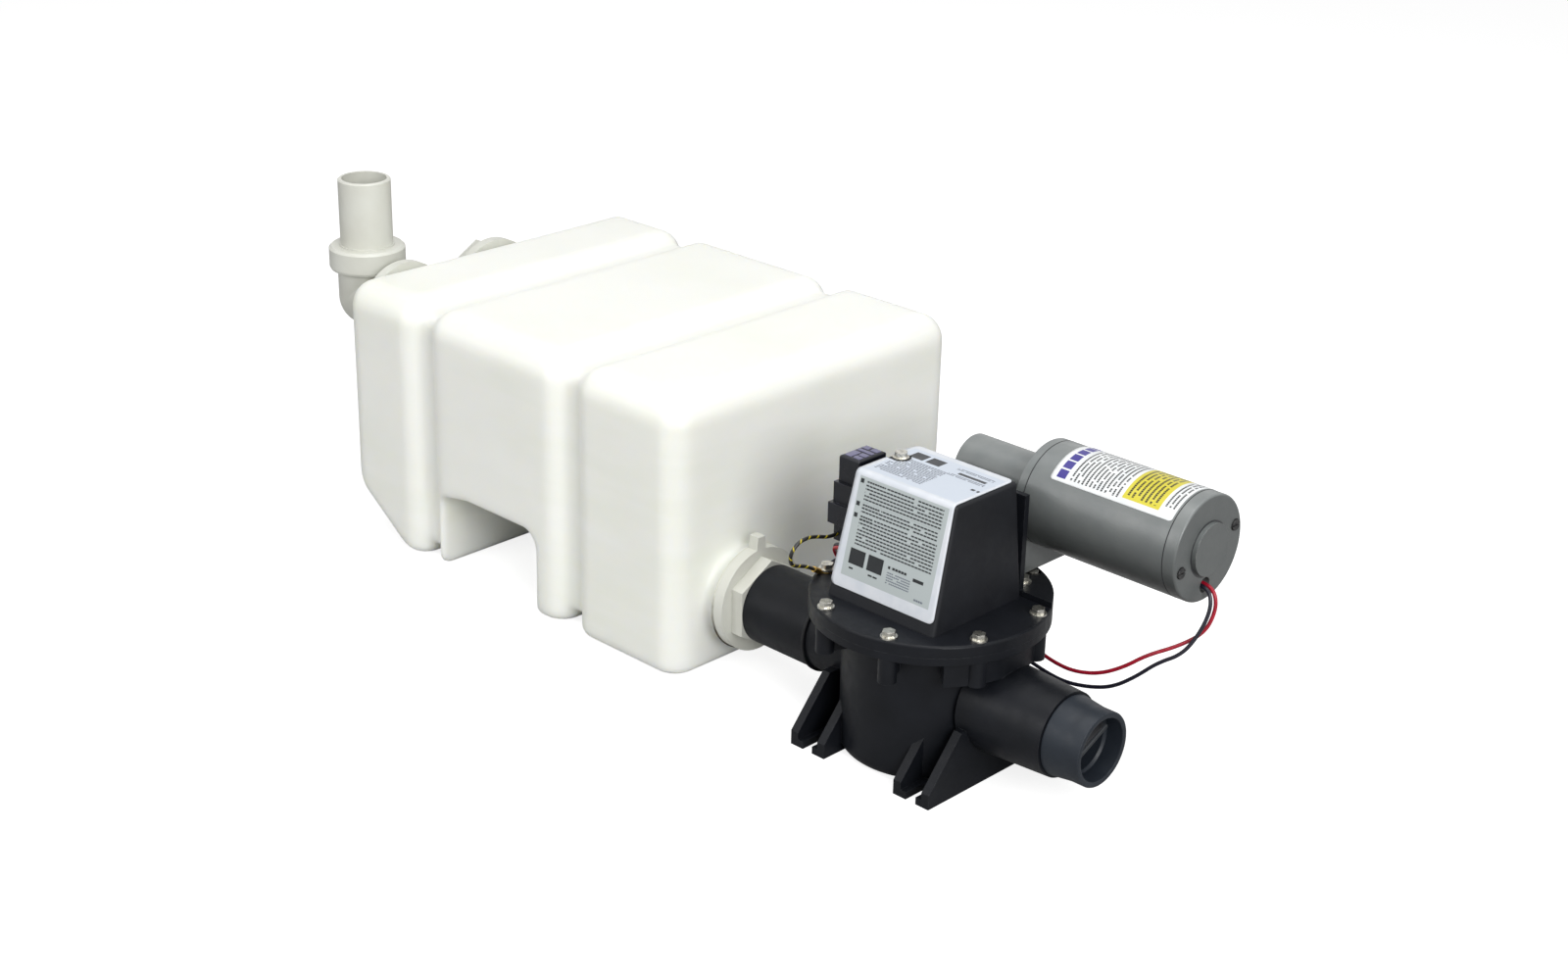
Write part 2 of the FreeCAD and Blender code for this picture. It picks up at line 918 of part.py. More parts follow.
def rail_slots(side):
    centre = side * D.rail_pitch
    half = D.slot_wide / 2
    slots = []
    for end in (-1, 1):
        bottom = end * (D.rail_reach - D.slot_deep)
        tip = end * (D.rail_reach + 1)
        near, far = (tip, bottom) if end < 0 else (bottom, tip)
        slots.append(block((centre - half, near, -1), (centre + half, far, D.rail_floor + 1)))
        slots.append(round_bar(half, (centre, bottom, -1), D.rail_floor + 2))
    return slots


def pump_body():
    """The moulded round body with its flange, necks, bosses and foot rails."""
    drum = round_bar(D.drum_radius, (0, 0, D.drum_floor), D.flange_high - D.drum_floor)
    foot_edge = lambda edge: abs(edge.BoundBox.ZMax - D.drum_floor.value) < 0.01
    soft_drum = soften(drum, D.drum_round, foot_edge)
    rim_high = flange_low - D.rim_low
    bosses = []
    holes = []
    for angle in screw_angles:
        x, y = on_circle(D.screw_circle, angle)
        bosses.append(round_bar(D.boss_radius, (x, y, D.rim_low), rim_high))
        depth = D.screw_long - D.plate_thick + 2
        holes.append(round_bar(D.screw_radius + D.press_gap, (x, y, D.flange_high - depth), depth + 1))
    web = D.drum_radius - 1
    webs = [prism("XY_Plane", web_outline(angle, web), D.rim_low, flange_low) for angle in screw_angles]
    neck_out_long = D.neck_out_end - drum_inside
    neck_in_long = D.pipe_end - drum_inside
    outside = join(
        soft_drum,
        round_bar(D.flange_radius, (0, 0, flange_low), D.flange_thick),
        sector_bar(D.rim_radius, (0, 0, D.rim_low), rim_high, -D.rim_half_out, D.rim_half_out * 2),
        sector_bar(D.rim_radius, (0, 0, D.rim_low), rim_high, 180 - D.rim_half_in, D.rim_half_in * 2),
        taper_bar(D.neck_out_root, D.neck_out_radius, (drum_inside, 0, D.nozzle_high), neck_out_long, "X"),
        round_bar(D.neck_in_radius, (-D.pipe_end, 0, D.nozzle_high), neck_in_long, "X"),
        *bosses,
        *webs,
        *rail(-1),
        *rail(1),
    )
    chamber = D.drum_floor + D.drum_wall
    seat = D.valve_out_first
    flow = D.nozzle_high
    inside = (
        round_bar(drum_inside, (0, 0, chamber), D.flange_high - chamber + 1),
        round_bar(D.bead_radius, (0, 0, D.flange_high - D.bead_thick), D.bead_thick + 1),
        round_bar(D.valve_bore, (0, 0, flow), seat + 1, "X"),
        round_bar(D.flow_bore, (seat, 0, flow), D.neck_out_end - seat + 1, "X"),
        round_bar(D.spigot_radius, (D.neck_out_end - D.spigot_long, 0, flow), D.spigot_long + 1, "X"),
        round_bar(D.flow_bore, (-D.pipe_end, 0, flow), D.pipe_end, "X"),
        round_bar(D.spigot_radius, (-D.pipe_end - 1, 0, flow), D.spigot_long + 1, "X"),
    )
    return cut(outside, *inside, *holes, *rail_slots(-1), *rail_slots(1))


def web_outline(angle, inner):
    """The thin radial wall that ties a boss to the drum."""
    corners = [(inner, -2), (D.screw_circle, -2), (D.screw_circle, 2), (inner, 2)]
    return [spun(corner, angle) for corner in corners]


node(pump_body(), "pump_body")


def top_plate():
    """The round plate that closes the body and carries the drive."""
    x, y = D.stand_screw_side, D.stand_screw_reach
    disc = round_bar(D.flange_radius, (0, 0, D.flange_high), D.plate_thick)
    rim = lambda edge: abs(edge.BoundBox.ZMin - plate_top.value) < 0.01
    soft_disc = soften(disc, dim(1.5), rim)
    holes = [round_bar(D.plate_hole, (0, 0, D.flange_high - 1), D.plate_thick + 2)]
    for angle in screw_angles:
        a, b = on_circle(D.screw_circle, angle)
        hole = round_bar(D.screw_radius + D.running_gap, (a, b, D.flange_high - 1), D.plate_thick + 2)
        holes.append(hole)
    for side in (-x, x):
        pilot = D.screw_radius + D.press_gap
        holes.append(round_bar(pilot, (side, y, D.flange_high - 1), D.plate_thick + 2))
    for place in (post_place, bracket_place):
        pilot = D.screw_radius + D.press_gap
        holes.append(round_bar(pilot, (*place, D.flange_high - 1), D.plate_thick + 2))
    return cut(soft_disc, *holes)


node(top_plate(), "top_plate")


def hex_screw(x, y, seat, length):
    """A six-sided washer-head screw driven down on a seat."""
    return join(
        round_bar(D.screw_radius, (x, y, seat - length), length),
        round_bar(D.washer_radius, (x, y, seat), D.washer_thick),
        hexagon(D.screw_head, (x, y, seat + D.washer_thick), D.screw_head_high),
    )


screw_places = [on_circle(D.screw_circle, angle) for angle in screw_angles]
ground_x, ground_y = screw_places.pop(ground_screw_index)
node(group(*[hex_screw(x, y, plate_top, D.screw_long) for x, y in screw_places]), "flange_screws")
node(hex_screw(ground_x, ground_y, plate_top + D.terminal_thick, D.screw_long), "ground_screw")

# Earth terminal under one flange screw, with a crimped barrel that the lead enters
barrel_y = ground_y - D.terminal_reach
barrel_high = plate_top + D.barrel_radius
terminal_eye = cut(
    round_bar(D.washer_radius, (ground_x, ground_y, plate_top), D.terminal_thick),
    round_bar(D.screw_radius + D.running_gap, (ground_x, ground_y, plate_top - 1), D.terminal_thick + 2),
)
terminal_neck = block(
    (ground_x - D.barrel_radius * 0.7, barrel_y, plate_top),
    (ground_x + D.barrel_radius * 0.7, ground_y - D.washer_radius + 0.6, plate_top + D.terminal_thick),
)
terminal_barrel = round_bar(D.barrel_radius, (ground_x, barrel_y, barrel_high), D.barrel_long)
bind(terminal_barrel, "Placement.Rotation.Angle", 90 - D.barrel_lift)
terminal_barrel.Placement.Rotation.Axis = FreeCAD.Vector(1, 0, 0)
barrel_back = ball(D.barrel_radius, (ground_x, barrel_y, barrel_high))
node(join(terminal_eye, terminal_neck, terminal_barrel, barrel_back), "ring_terminal")

# Bellows, clamped under the plate, and the rod that works it
fold_top = D.flange_high - D.bead_thick


def bellows_outline():
    """Down the outside over each fold, across the floor and back up the inside."""
    folds = round(D.bellows_folds.value)
    step = (fold_top - D.bellows_low) / D.bellows_folds
    outside = []
    for k in range(folds):
        outside.append((fold_top - step * k, D.bellows_waist))
        outside.append((fold_top - step * (k + 0.5), D.bellows_radius))
    outside.append((D.bellows_low, D.bellows_waist))
    inside = [(z, r - D.bellows_wall) for z, r in reversed(outside)]
    floor_low = D.bellows_low - D.bellows_wall
    return (
        [(D.flange_high, D.bead_radius), (fold_top, D.bead_radius)]
        + outside
        + [(floor_low, D.bellows_waist), (floor_low, D.bolt_radius), (D.bellows_low, D.bolt_radius)]
        + inside
        + [(D.flange_high, D.bellows_waist - D.bellows_wall)]
    )


turned("bellows", "Z", (0, 0, 0), bellows_outline())
disc_low = D.bellows_low - D.bellows_wall - D.disc_thick
rod_low = D.bellows_low + D.disc_thick


def clamp_disc(low):
    """A steel disc on one face of the bellows floor."""
    disc = round_bar(D.disc_radius, (0, 0, low), D.disc_thick)
    return cut(disc, round_bar(D.bolt_radius, (0, 0, low - 1), D.disc_thick + 2))


node(group(clamp_disc(D.bellows_low), clamp_disc(disc_low)), "bellows_discs")
bolt = join(
    hexagon(D.bolt_head, (0, 0, disc_low - D.bolt_head_high), D.bolt_head_high),
    round_bar(D.bolt_radius, (0, 0, disc_low), D.bolt_long),
)
node(bolt, "bellows_bolt")


def connecting_rod():
    """The rod from the bellows floor up to the crank pin's eye."""
    half = D.rod_thick / 2
    eye = round_bar(D.rod_eye, (0, -half, pin_high), D.rod_thick, "Y")
    shank = block((-D.rod_wide / 2, -half, rod_low), (D.rod_wide / 2, half, pin_high))
    foot = round_bar(D.rod_foot, (0, 0, rod_low), D.rod_foot_high)
    bore = round_bar(D.rod_bearing, (0, -half - 1, pin_high), D.rod_thick + 2, "Y")
    tapped = round_bar(D.bolt_radius, (0, 0, rod_low - 1), disc_low + D.bolt_long - rod_low + 2)
    return cut(join(eye, shank, foot), bore, tapped)


node(connecting_rod(), "connecting_rod")
half_rod = D.rod_thick / 2
rod_bush = ring(-half_rod, half_rod, D.pin_radius + D.running_gap, D.rod_bearing)
turned("rod_bearing", "Y", (0, 0, pin_high), rod_bush)

# Crank, output shaft and worm wheel
shaft_line = (0, 0, shaft_high)
pin_start = half_rod + D.pin_gap
crank = cut(
    join(
        round_bar(D.crank_radius, (0, D.crank_front, shaft_high), D.crank_back - D.crank_front, "Y"),
        round_bar(D.pin_radius, (0, pin_start, pin_high), D.crank_back - pin_start, "Y"),
    ),
    round_bar(D.shaft_radius, (0, D.crank_front - 1, shaft_high), D.crank_back, "Y"),
)
node(crank, "crank_disc")
turned("output_shaft", "Y", shaft_line, [
    (D.crank_front, 0),
    (D.shaft_end, 0),
    (D.shaft_end, D.shaft_radius),
    (D.crank_front, D.shaft_radius),
])


def shaft_bearing(start):
    """One plain bearing of the output shaft."""
    place = (0, start, shaft_high)
    bore = round_bar(D.shaft_radius + D.slide_gap, (0, start - 1, shaft_high), D.bearing_wide + 2, "Y")
    return cut(round_bar(D.shaft_bearing, place, D.bearing_wide, "Y"), bore)


node(group(shaft_bearing(case_face), shaft_bearing(D.chamber_deep)), "shaft_bearings")

worm_step = 2 * math.pi * D.wheel_pitch_radius / D.wheel_teeth
lead_angle = math.degrees(math.atan2(worm_step.value, 2 * math.pi * D.worm_pitch_radius.value))


def worm_wheel():
    """A wheel with teeth leaned to the worm's lead, and a gap between teeth at its top."""
    root = D.wheel_pitch_radius.value - D.tooth_deep.value
    tip = D.wheel_pitch_radius.value + D.worm_addendum.value
    wide = D.wheel_wide.value
    start = D.drive_reach.value - wide / 2
    centre = FreeCAD.Vector(0, start, shaft_high.value)
    across = FreeCAD.Vector(0, 1, 0)
    rim = Part.makeCylinder(root, wide, centre, across)
    hub_start = FreeCAD.Vector(0, start + wide - D.wheel_hub_long.value, shaft_high.value)
    hub = Part.makeCylinder(D.wheel_hub.value, D.wheel_hub_long.value, hub_start, across)
    lean = math.tan(math.radians(lead_angle)) * wide
    half = D.tooth_thick.value / 2
    count = round(D.wheel_teeth.value)
    corners = [(-half * 1.35, root - 0.3), (-half * 0.7, tip), (half * 0.7, tip), (half * 1.35, root - 0.3)]
    flat = [FreeCAD.Vector(x - lean / 2, start, z) for x, z in corners]
    face = Part.Face(Part.makePolygon(flat + flat[:1]))
    tooth = face.extrude(FreeCAD.Vector(lean, wide, 0))
    teeth = []
    for k in range(count):
        copy = tooth.copy()
        copy.rotate(FreeCAD.Vector(0, 0, 0), across, 360 * (k + 0.5) / count)
        copy.translate(FreeCAD.Vector(0, 0, shaft_high.value))
        teeth.append(copy)
    bore_start = centre - across * D.wheel_hub_long.value
    bore = Part.makeCylinder(D.shaft_radius.value, 3 * D.wheel_hub_long.value, bore_start, across)
    return rim.fuse([hub] + teeth).cut(bore).removeSplitter()


def made(shape, label):
    """A piece whose form is worked out from the sheet's values in one go."""
    item = doc.addObject("Part::Feature", label)
    item.Shape = shape
    return node(item, label)


made(worm_wheel(), "worm_wheel")


def worm_shaft():
    """The motor's long shaft with a single right-hand thread wound round its front end."""
    core = D.worm_pitch_radius.value - D.tooth_deep.value
    tip = D.worm_pitch_radius.value + D.worm_addendum.value
    step = worm_step.value
    length = step * round(D.thread_turns.value)
    half = D.thread_thick.value / 2
    corners = [(core - 0.3, -half * 1.35), (tip, -half * 0.7), (tip, half * 0.7), (core - 0.3, half * 1.35)]
    flat = [FreeCAD.Vector(x, 0, z) for x, z in corners]
    helix = Part.makeHelix(step, length, core)
    thread = Part.Wire(helix.Edges).makePipeShell([Part.makePolygon(flat + flat[:1])], True, True)
    up = FreeCAD.Vector(0, 0, 1)
    front = length / 2 - D.snout_end.value + D.snout_wall.value
    back = length / 2 + D.can_end.value + D.bearing_wide.value
    neck = length + 3
    thin = Part.makeCylinder(core, neck - front, FreeCAD.Vector(0, 0, front), up)
    thick = Part.makeCylinder(D.rotor_shaft.value, back - neck, FreeCAD.Vector(0, 0, neck), up)
    shaft = thin.fuse([thick, thread])
    shaft.translate(FreeCAD.Vector(0, 0, -length / 2))
    shaft.rotate(FreeCAD.Vector(0, 0, 0), FreeCAD.Vector(0, 1, 0), 90)
    shaft.translate(FreeCAD.Vector(0, D.drive_reach.value, D.drive_high.value))
    return shaft


made(worm_shaft(), "rotor_shaft")

# Gear case, its lid and the stand that carries both on the top plate
motor_line = (0, D.drive_reach, D.drive_high)
chamber = D.wheel_pitch_radius + D.worm_addendum + D.chamber_gap
case_screw_places = [
    (side * (D.case_half - D.case_screw_inset), z)
    for side in (-1, 1)
    for z in (D.case_low + D.case_screw_inset, D.case_top - D.case_screw_inset)
]


def gearcase():
    """The grey casting round the worm and wheel, with a snout along the motor shaft."""
    box = block((-D.case_half, case_face, D.case_low), (D.case_half, D.case_back, D.case_top))
    rear = lambda edge: edge.BoundBox.YMin > D.case_back.value - 0.01
    soft_box = soften(box, D.case_round, rear)
    snout_start = (-D.snout_end, D.drive_reach, D.drive_high)
    snout_long = D.snout_end + D.motor_front
    bore_start = (-D.snout_end + D.snout_wall, D.drive_reach, D.drive_high)
    outside = join(soft_box, round_bar(D.snout_radius, snout_start, snout_long, "X"))
    inside = [
        round_bar(chamber, (0, case_face - 1, shaft_high), D.chamber_deep - case_face + 1, "Y"),
        round_bar(D.shaft_bearing, (0, D.chamber_deep - 1, shaft_high), D.bearing_wide + 1, "Y"),
        round_bar(D.worm_bearing, bore_start, snout_long, "X"),
    ]
    for x, z in case_screw_places:
        inside.append(round_bar(D.tie_bolt + D.press_gap, (x, case_face - 1, z), D.screw_long, "Y"))
    return cut(outside, *inside)


node(gearcase(), "gearcase")


def gearcase_lid():
    plate = block((-D.case_half, lid_face, D.case_low), (D.case_half, case_face, D.case_top))
    boss = round_bar(D.lid_boss, (0, case_face, shaft_high), D.bearing_wide, "Y")
    inside = [
        round_bar(D.shaft_radius + D.running_gap, (0, lid_face - 1, shaft_high), D.lid_thick + 2, "Y"),
        round_bar(D.shaft_bearing, (0, case_face, shaft_high), D.bearing_wide + 1, "Y"),
    ]
    for x, z in case_screw_places:
        inside.append(round_bar(D.tie_bolt + D.running_gap, (x, lid_face - 1, z), D.lid_thick + 2, "Y"))
    return cut(join(plate, boss), *inside)


node(gearcase_lid(), "gearcase_lid")


def gear_stand():
    """The angle plate that stands on the top plate behind the cover and holds the gear case."""
    upright = block((-D.stand_half, stand_face, plate_top), (D.stand_half, lid_face, D.stand_top))
    foot_top = plate_top + D.stand_foot_thick
    disc = round_bar(D.flange_radius, (0, 0, plate_top), D.stand_foot_thick)
    behind = block((-D.flange_radius, stand_face, plate_top), (D.flange_radius, D.flange_radius, foot_top))
    foot = overlap(disc, behind)
    inside = [round_bar(D.stand_hole, (0, stand_face - 1, shaft_high), D.stand_thick + 2, "Y")]
    for x, y in screw_places:
        if y.value > stand_face.value:
            recess = D.washer_radius + D.slide_gap * 10
            inside.append(round_bar(recess, (x, y, plate_top - 1), D.stand_foot_thick + 2))
    for x, z in case_screw_places:
        head = D.tie_head + D.running_gap
        inside.append(round_bar(D.tie_bolt + D.running_gap, (x, stand_face - 1, z), D.stand_thick + 2, "Y"))
        inside.append(round_bar(head, (x, stand_face - 1, z), D.tie_head_high + 1, "Y"))
    for side in (-1, 1):
        hole = D.screw_radius + D.running_gap
        place = (side * D.stand_screw_side, D.stand_screw_reach, plate_top - 1)
        inside.append(round_bar(hole, place, D.stand_foot_thick + 2))
    return cut(join(upright, foot), *inside)


node(gear_stand(), "gear_stand")


def case_screw(x, z):
    """A cheese-head screw along Y whose head is sunk flush in the stand."""
    head = round_bar(D.tie_head, (x, stand_face, z), D.tie_head_high, "Y")
    shank = round_bar(D.tie_bolt, (x, stand_face, z), D.screw_long, "Y")
    return join(head, shank)


node(group(*[case_screw(x, z) for x, z in case_screw_places]), "gearcase_screws")
stand_seat = plate_top + D.stand_foot_thick
stand_screws = [
    hex_screw(side * D.stand_screw_side, D.stand_screw_reach, stand_seat, D.stand_screw_long)
    for side in (-1, 1)
]

# Motor
worm_bearing_start = -D.snout_end + D.snout_wall
worm_core = D.worm_pitch_radius - D.tooth_deep
turned(
    "worm_bearing",
    "X",
    motor_line,
    ring(
        worm_bearing_start,
        worm_bearing_start + D.worm_bearing_wide,
        worm_core + D.slide_gap,
        D.worm_bearing,
    ),
)
can_start = D.motor_front + D.bell_thick
can_inside = D.motor_radius - D.motor_wall
cap_face = D.can_end + D.cap_thick
turned("motor_can", "X", motor_line, ring(can_start, D.can_end, can_inside, D.motor_radius))


def tie_places():
    """Where the two long bolts pass, given along Y and Z from the motor line."""
    across = cosine(D.cap_screw_turn) * D.cap_screw_circle
    rise = sine(D.cap_screw_turn) * D.cap_screw_circle
    return [(D.drive_reach + side * across, D.drive_high + side * rise) for side in (-1, 1)]


def front_end_bell():
    """The disc between the gear case and the can, with a lip that centres the can."""
    disc = round_bar(D.motor_radius, (D.motor_front, *motor_line[1:]), D.bell_thick, "X")
    lip = round_bar(can_inside, (can_start, *motor_line[1:]), D.bell_thick / 2, "X")
    inside = [round_bar(D.rotor_shaft + 1, (D.motor_front - 1, *motor_line[1:]), D.bell_thick * 3, "X")]
    for y, z in tie_places():
        inside.append(round_bar(D.tie_bolt + D.press_gap, (D.motor_front + 1, y, z), D.bell_thick * 2, "X"))
    return cut(join(disc, lip), *inside)


node(front_end_bell(), "front_end_bell")
grommet_high = D.drive_high - D.grommet_drop


def end_cap():
    """The cast cap with a raised centre over the rear bearing."""
    disc = round_bar(D.motor_radius, (D.can_end, *motor_line[1:]), D.cap_thick, "X")
    rim = lambda edge: edge.BoundBox.XMin > cap_face.value - 0.01
    soft_disc = soften(disc, D.cap_boss_high / 2, rim)
    boss = round_bar(D.cap_boss, (D.can_end, *motor_line[1:]), D.cap_thick + D.cap_boss_high, "X")
    inside = [
        round_bar(D.shaft_bearing, (D.can_end - 1, *motor_line[1:]), D.bearing_wide + 2, "X"),
        round_bar(D.grommet_radius, (D.can_end - 1, D.drive_reach, grommet_high), D.cap_thick * 2, "X"),
    ]
    for y, z in tie_places():
        inside.append(round_bar(D.tie_bolt + D.running_gap, (D.can_end - 1, y, z), D.cap_thick * 2, "X"))
        seat = cap_face - D.tie_head_high + 1
        inside.append(round_bar(D.tie_head + D.running_gap, (seat, y, z), D.cap_thick, "X"))
    return cut(join(soft_disc, boss), *inside)


node(end_cap(), "end_cap")


def tie_bolt(y, z):
    """A long bolt from the end cap to the front bell."""
    seat = cap_face - D.tie_head_high + 1
    start = D.motor_front + 2
    head = round_bar(D.tie_head, (seat, y, z), D.tie_head_high, "X")
    shank = round_bar(D.tie_bolt, (start, y, z), seat - start + 1, "X")
    slot = block(
        (seat + D.tie_head_high - 0.8, y - D.tie_head, z - 0.5),
        (seat + D.tie_head_high + 1, y + D.tie_head, z + 0.5),
    )
    return cut(join(head, shank), slot)


node(group(*[tie_bolt(y, z) for y, z in tie_places()]), "end_cap_screws")


def magnet(middle):
    """One curved magnet inside the can, centred on a bearing about the motor line."""
    low = D.armature_from - D.bell_thick / 2
    length = D.armature_to + D.bell_thick / 2 - low
    inner = D.armature_radius + D.air_gap
    owner = doc.addObject("PartDesign::Body", "magnet")
    turn(owner, "X", ring(low, low + length, inner, can_inside)).Angle = D.magnet_arc.value
    move(owner, motor_line)
    bind(owner, "Placement.Rotation.Angle", dim(middle) - D.magnet_arc / 2)
    owner.Placement.Rotation.Axis = FreeCAD.Vector(1, 0, 0)
    return owner


node(group(magnet(0), magnet(180)), "magnets")
turned(
    "armature_core",
    "X",
    motor_line,
    ring(D.armature_from, D.armature_to, D.rotor_shaft, D.armature_radius),
)
turned(
    "commutator",
    "X",
    motor_line,
    ring(D.commutator_from, D.commutator_to, D.rotor_shaft, D.commutator_radius),
)
holder_face = D.commutator_to + 1


def brush(side):
    """One carbon brush that bears on the commutator from above or below."""
    near = D.drive_high + side * (D.commutator_radius + D.slide_gap)
    far = near + side * D.brush_long
    low, high = (near, far) if side > 0 else (far, near)
    half = D.brush_wide / 2
    return block(
        (holder_face - D.brush_deep, D.drive_reach - half, low),
        (holder_face, D.drive_reach + half, high),
    )


node(group(brush(-1), brush(1)), "brushes")
holder_holes = [
    round_bar(D.tie_bolt + D.running_gap, (holder_face - 1, y, z), D.holder_thick + 2, "X")
    for y, z in tie_places()
]
brush_holder = cut(
    round_bar(can_inside, (holder_face, *motor_line[1:]), D.holder_thick, "X"),
    round_bar(D.holder_bore, (holder_face - 1, *motor_line[1:]), D.holder_thick + 2, "X"),
    *holder_holes,
)
node(brush_holder, "brush_holder")
turned(
    "rotor_rear_bearing",
    "X",
    motor_line,
    ring(D.can_end, D.can_end + D.bearing_wide, D.rotor_shaft + D.slide_gap, D.shaft_bearing),
)
turned("lead_grommet", "X", (0, D.drive_reach, grommet_high), [
    (D.can_end, 0),
    (cap_face - D.grommet_sink, 0),
    (cap_face - D.grommet_sink, D.grommet_radius),
    (D.can_end, D.grommet_radius),
])

# Cover over the crank, with its post
LAID = FreeCAD.Rotation(FreeCAD.Vector(1, 0, 0), 90)


def hood(inset, top):
    """The cover's tapering block, drawn in by the wall for its inside."""
    item = doc.addObject("Part::Wedge", "hood")
    sizes = (
        ("Xmin", inset - D.cover_half_low),
        ("Xmax", D.cover_half_low - inset),
        ("X2min", inset - D.cover_half_top),
        ("X2max", D.cover_half_top - inset),
        ("Zmin", inset - D.cover_back_low),
        ("Zmax", D.cover_front_low - inset),
        ("Z2min", inset - D.cover_back_top),
        ("Z2max", D.cover_front_top - inset),
        ("Ymin", plate_top),
        ("Ymax", top),
    )
    for name, number in sizes:
        bind(item, name, number)
    item.Placement.Rotation = LAID
    return item


def drive_cover():
    """The tapering black cover, open below and notched behind for the shaft."""
    upper = lambda edge: edge.BoundBox.ZMax > plate_top.value + 1
    outside = soften(hood(dim(0), D.cover_top), D.cover_round, upper)
    inside = hood(D.cover_wall, D.cover_top - D.cover_wall)
    notch = block(
        (-D.stand_hole, 0, plate_top - 1),
        (D.stand_hole, D.cover_back_low + 1, shaft_high),
    )
    arch = round_bar(D.stand_hole, (0, 0, shaft_high), D.cover_back_low + 1, "Y")
    hole = round_bar(D.screw_radius + D.running_gap, (*post_place, D.cover_top - D.cover_wall - 1), 9)
    return cut(outside, inside, notch, arch, hole)


node(drive_cover(), "drive_cover")
post_top = D.cover_top - D.cover_wall
post = cut(
    join(
        round_bar(D.post_radius, (*post_place, plate_top), post_top - plate_top),
        round_bar(D.screw_radius, (*post_place, plate_top - D.plate_thick + 1), D.plate_thick),
    ),
    round_bar(
        D.screw_radius + D.press_gap,
        (*post_place, post_top - D.post_screw_long),
        D.post_screw_long + 1,
    ),
)
node(post, "cover_post")
cover_screw = hex_screw(*post_place, D.cover_top, D.post_screw_long)

# Relay in its socket, on a bracket beside the cover
switch_back = D.switch_back
switch_front = -D.switch_front
relay_low = D.switch_band_top + D.switch_seat
relay = block((-D.switch_reach, switch_front, relay_low), (bracket_face, switch_back, D.switch_top))
relay_edges = lambda edge: edge.BoundBox.ZMin > D.switch_top.value - 0.01
node(soften(relay, dim(1.5), relay_edges), "relay_box")


def socket_step(proud, low, top):
    """One step of the socket, standing proud of the relay in front and at the side."""
    near = (-D.switch_reach - proud, switch_front - proud, low)
    return block(near, (bracket_face, switch_back, top))


socket = cut(
    join(
        socket_step(D.switch_foot, D.switch_low, D.switch_band_low),
        socket_step(D.switch_band, D.switch_band_low, D.switch_band_top),
        socket_step(D.switch_collar, D.switch_band_top, D.switch_collar_top),
    ),
    block((-D.switch_reach, switch_front, relay_low), (bracket_face + 1, switch_back + 1, D.switch_top)),
)
node(socket, "relay_socket")
bracket_edge = D.bracket_thick * 2
bracket_foot = cut(
    block(
        (bracket_face - D.bracket_foot, switch_front + bracket_edge, plate_top),
        (switch_side, switch_back - bracket_edge, plate_top + D.bracket_thick),
    ),
    round_bar(D.screw_radius + D.running_gap, (*bracket_place, plate_top - 1), D.bracket_thick + 2),
)
bracket_arm = block(
    (bracket_face, switch_front + bracket_edge, plate_top),
    (switch_side, switch_back - bracket_edge, D.bracket_top),
)
node(join(bracket_foot, bracket_arm), "relay_bracket")
bracket_screw = hex_screw(*bracket_place, plate_top + D.bracket_thick, D.stand_screw_long - D.bracket_thick)
node(group(*stand_screws, cover_screw, bracket_screw), "mounting_screws")

# Wiring: round leads whose straight runs are joined by arcs


def lead(label, points):
    """A lead of one thickness along a route, with its least bend radius printed."""
    route = [FreeCAD.Vector(*[dim(c).value for c in point]) for point in points]
    runs = [b - a for a, b in zip(route, route[1:])]
    edges = []
    start = route[0]
    least = 0
    for here, before, after in zip(route[1:], runs, runs[1:]):
        turn_half = before.getAngle(after) / 2
        trim = 0.45 * min(before.Length, after.Length)
        radius = trim / math.tan(turn_half)
        least = min(least or radius, radius)
        into = before / before.Length
        out = after / after.Length
        first = here - into * trim
        last = here + out * trim
        inward = (out - into) / (out - into).Length
        middle = here + inward * (radius / math.cos(turn_half) - radius)
        edges.append(Part.LineSegment(start, first).toShape())
        edges.append(Part.Arc(first, middle, last).toShape())
        start = last
    edges.append(Part.LineSegment(start, route[-1]).toShape())
    wire = Part.Wire(edges)
    thick = D.lead_radius.value
    section = Part.Wire([Part.Circle(route[0], runs[0], thick).toShape()])
    shape = wire.makePipeShell([section], True, True)
    swept = shape.Volume / (math.pi * thick * thick * wire.Length)
    print(f"{label}: length {wire.Length:.0f} mm, least radius {least:.1f} mm, volume ratio {swept:.4f}")
    return made(shape, label)


def from_anchor(anchor, offsets):
    """Points of a route given as steps from a named place."""
    return [tuple(dim(a) + b for a, b in zip(anchor, offset)) for offset in offsets]


grommet = (cap_face - D.grommet_sink, D.drive_reach, grommet_high)
drum_back = (0, D.drum_radius, D.nozzle_high)
socket_under = (-D.switch_reach, switch_middle, D.switch_low)
lead_half = D.lead_pitch / 2
lead("lead_red", [
    *from_anchor(grommet, [
        (0, lead_half, 0),
        (7, lead_half, 0),
        (13, 1.2, -5),
        (14.5, 0, -15),
        (11, -4, -29),
        (-3, -10, -41),
    ]),
    *from_anchor(drum_back, [
        (126, 3.5, 38.5),
        (112, 1, 26),
        (95, -1, 15.5),
        (76, -2, 10.5),
        (57, 1, 9.5),
        (38, 7.5, 9.5),
        (18, 12, 10),
        (-3, 13.5, 11),
        (-23, 11, 13),
        (-43, 4.5, 16),
        (-62, -5, 20),
        (-77, -20, 28),
        (-85, -36, 39),
    ]),
    *from_anchor(socket_under, [
        (-22, 13.5, -29),
        (-19.5, 5.5, -18),
        (-10, 2, -14),
        (-0.8, 0, -14),
        (5, -1, -8),
        (5, -1, 0),
    ]),
])
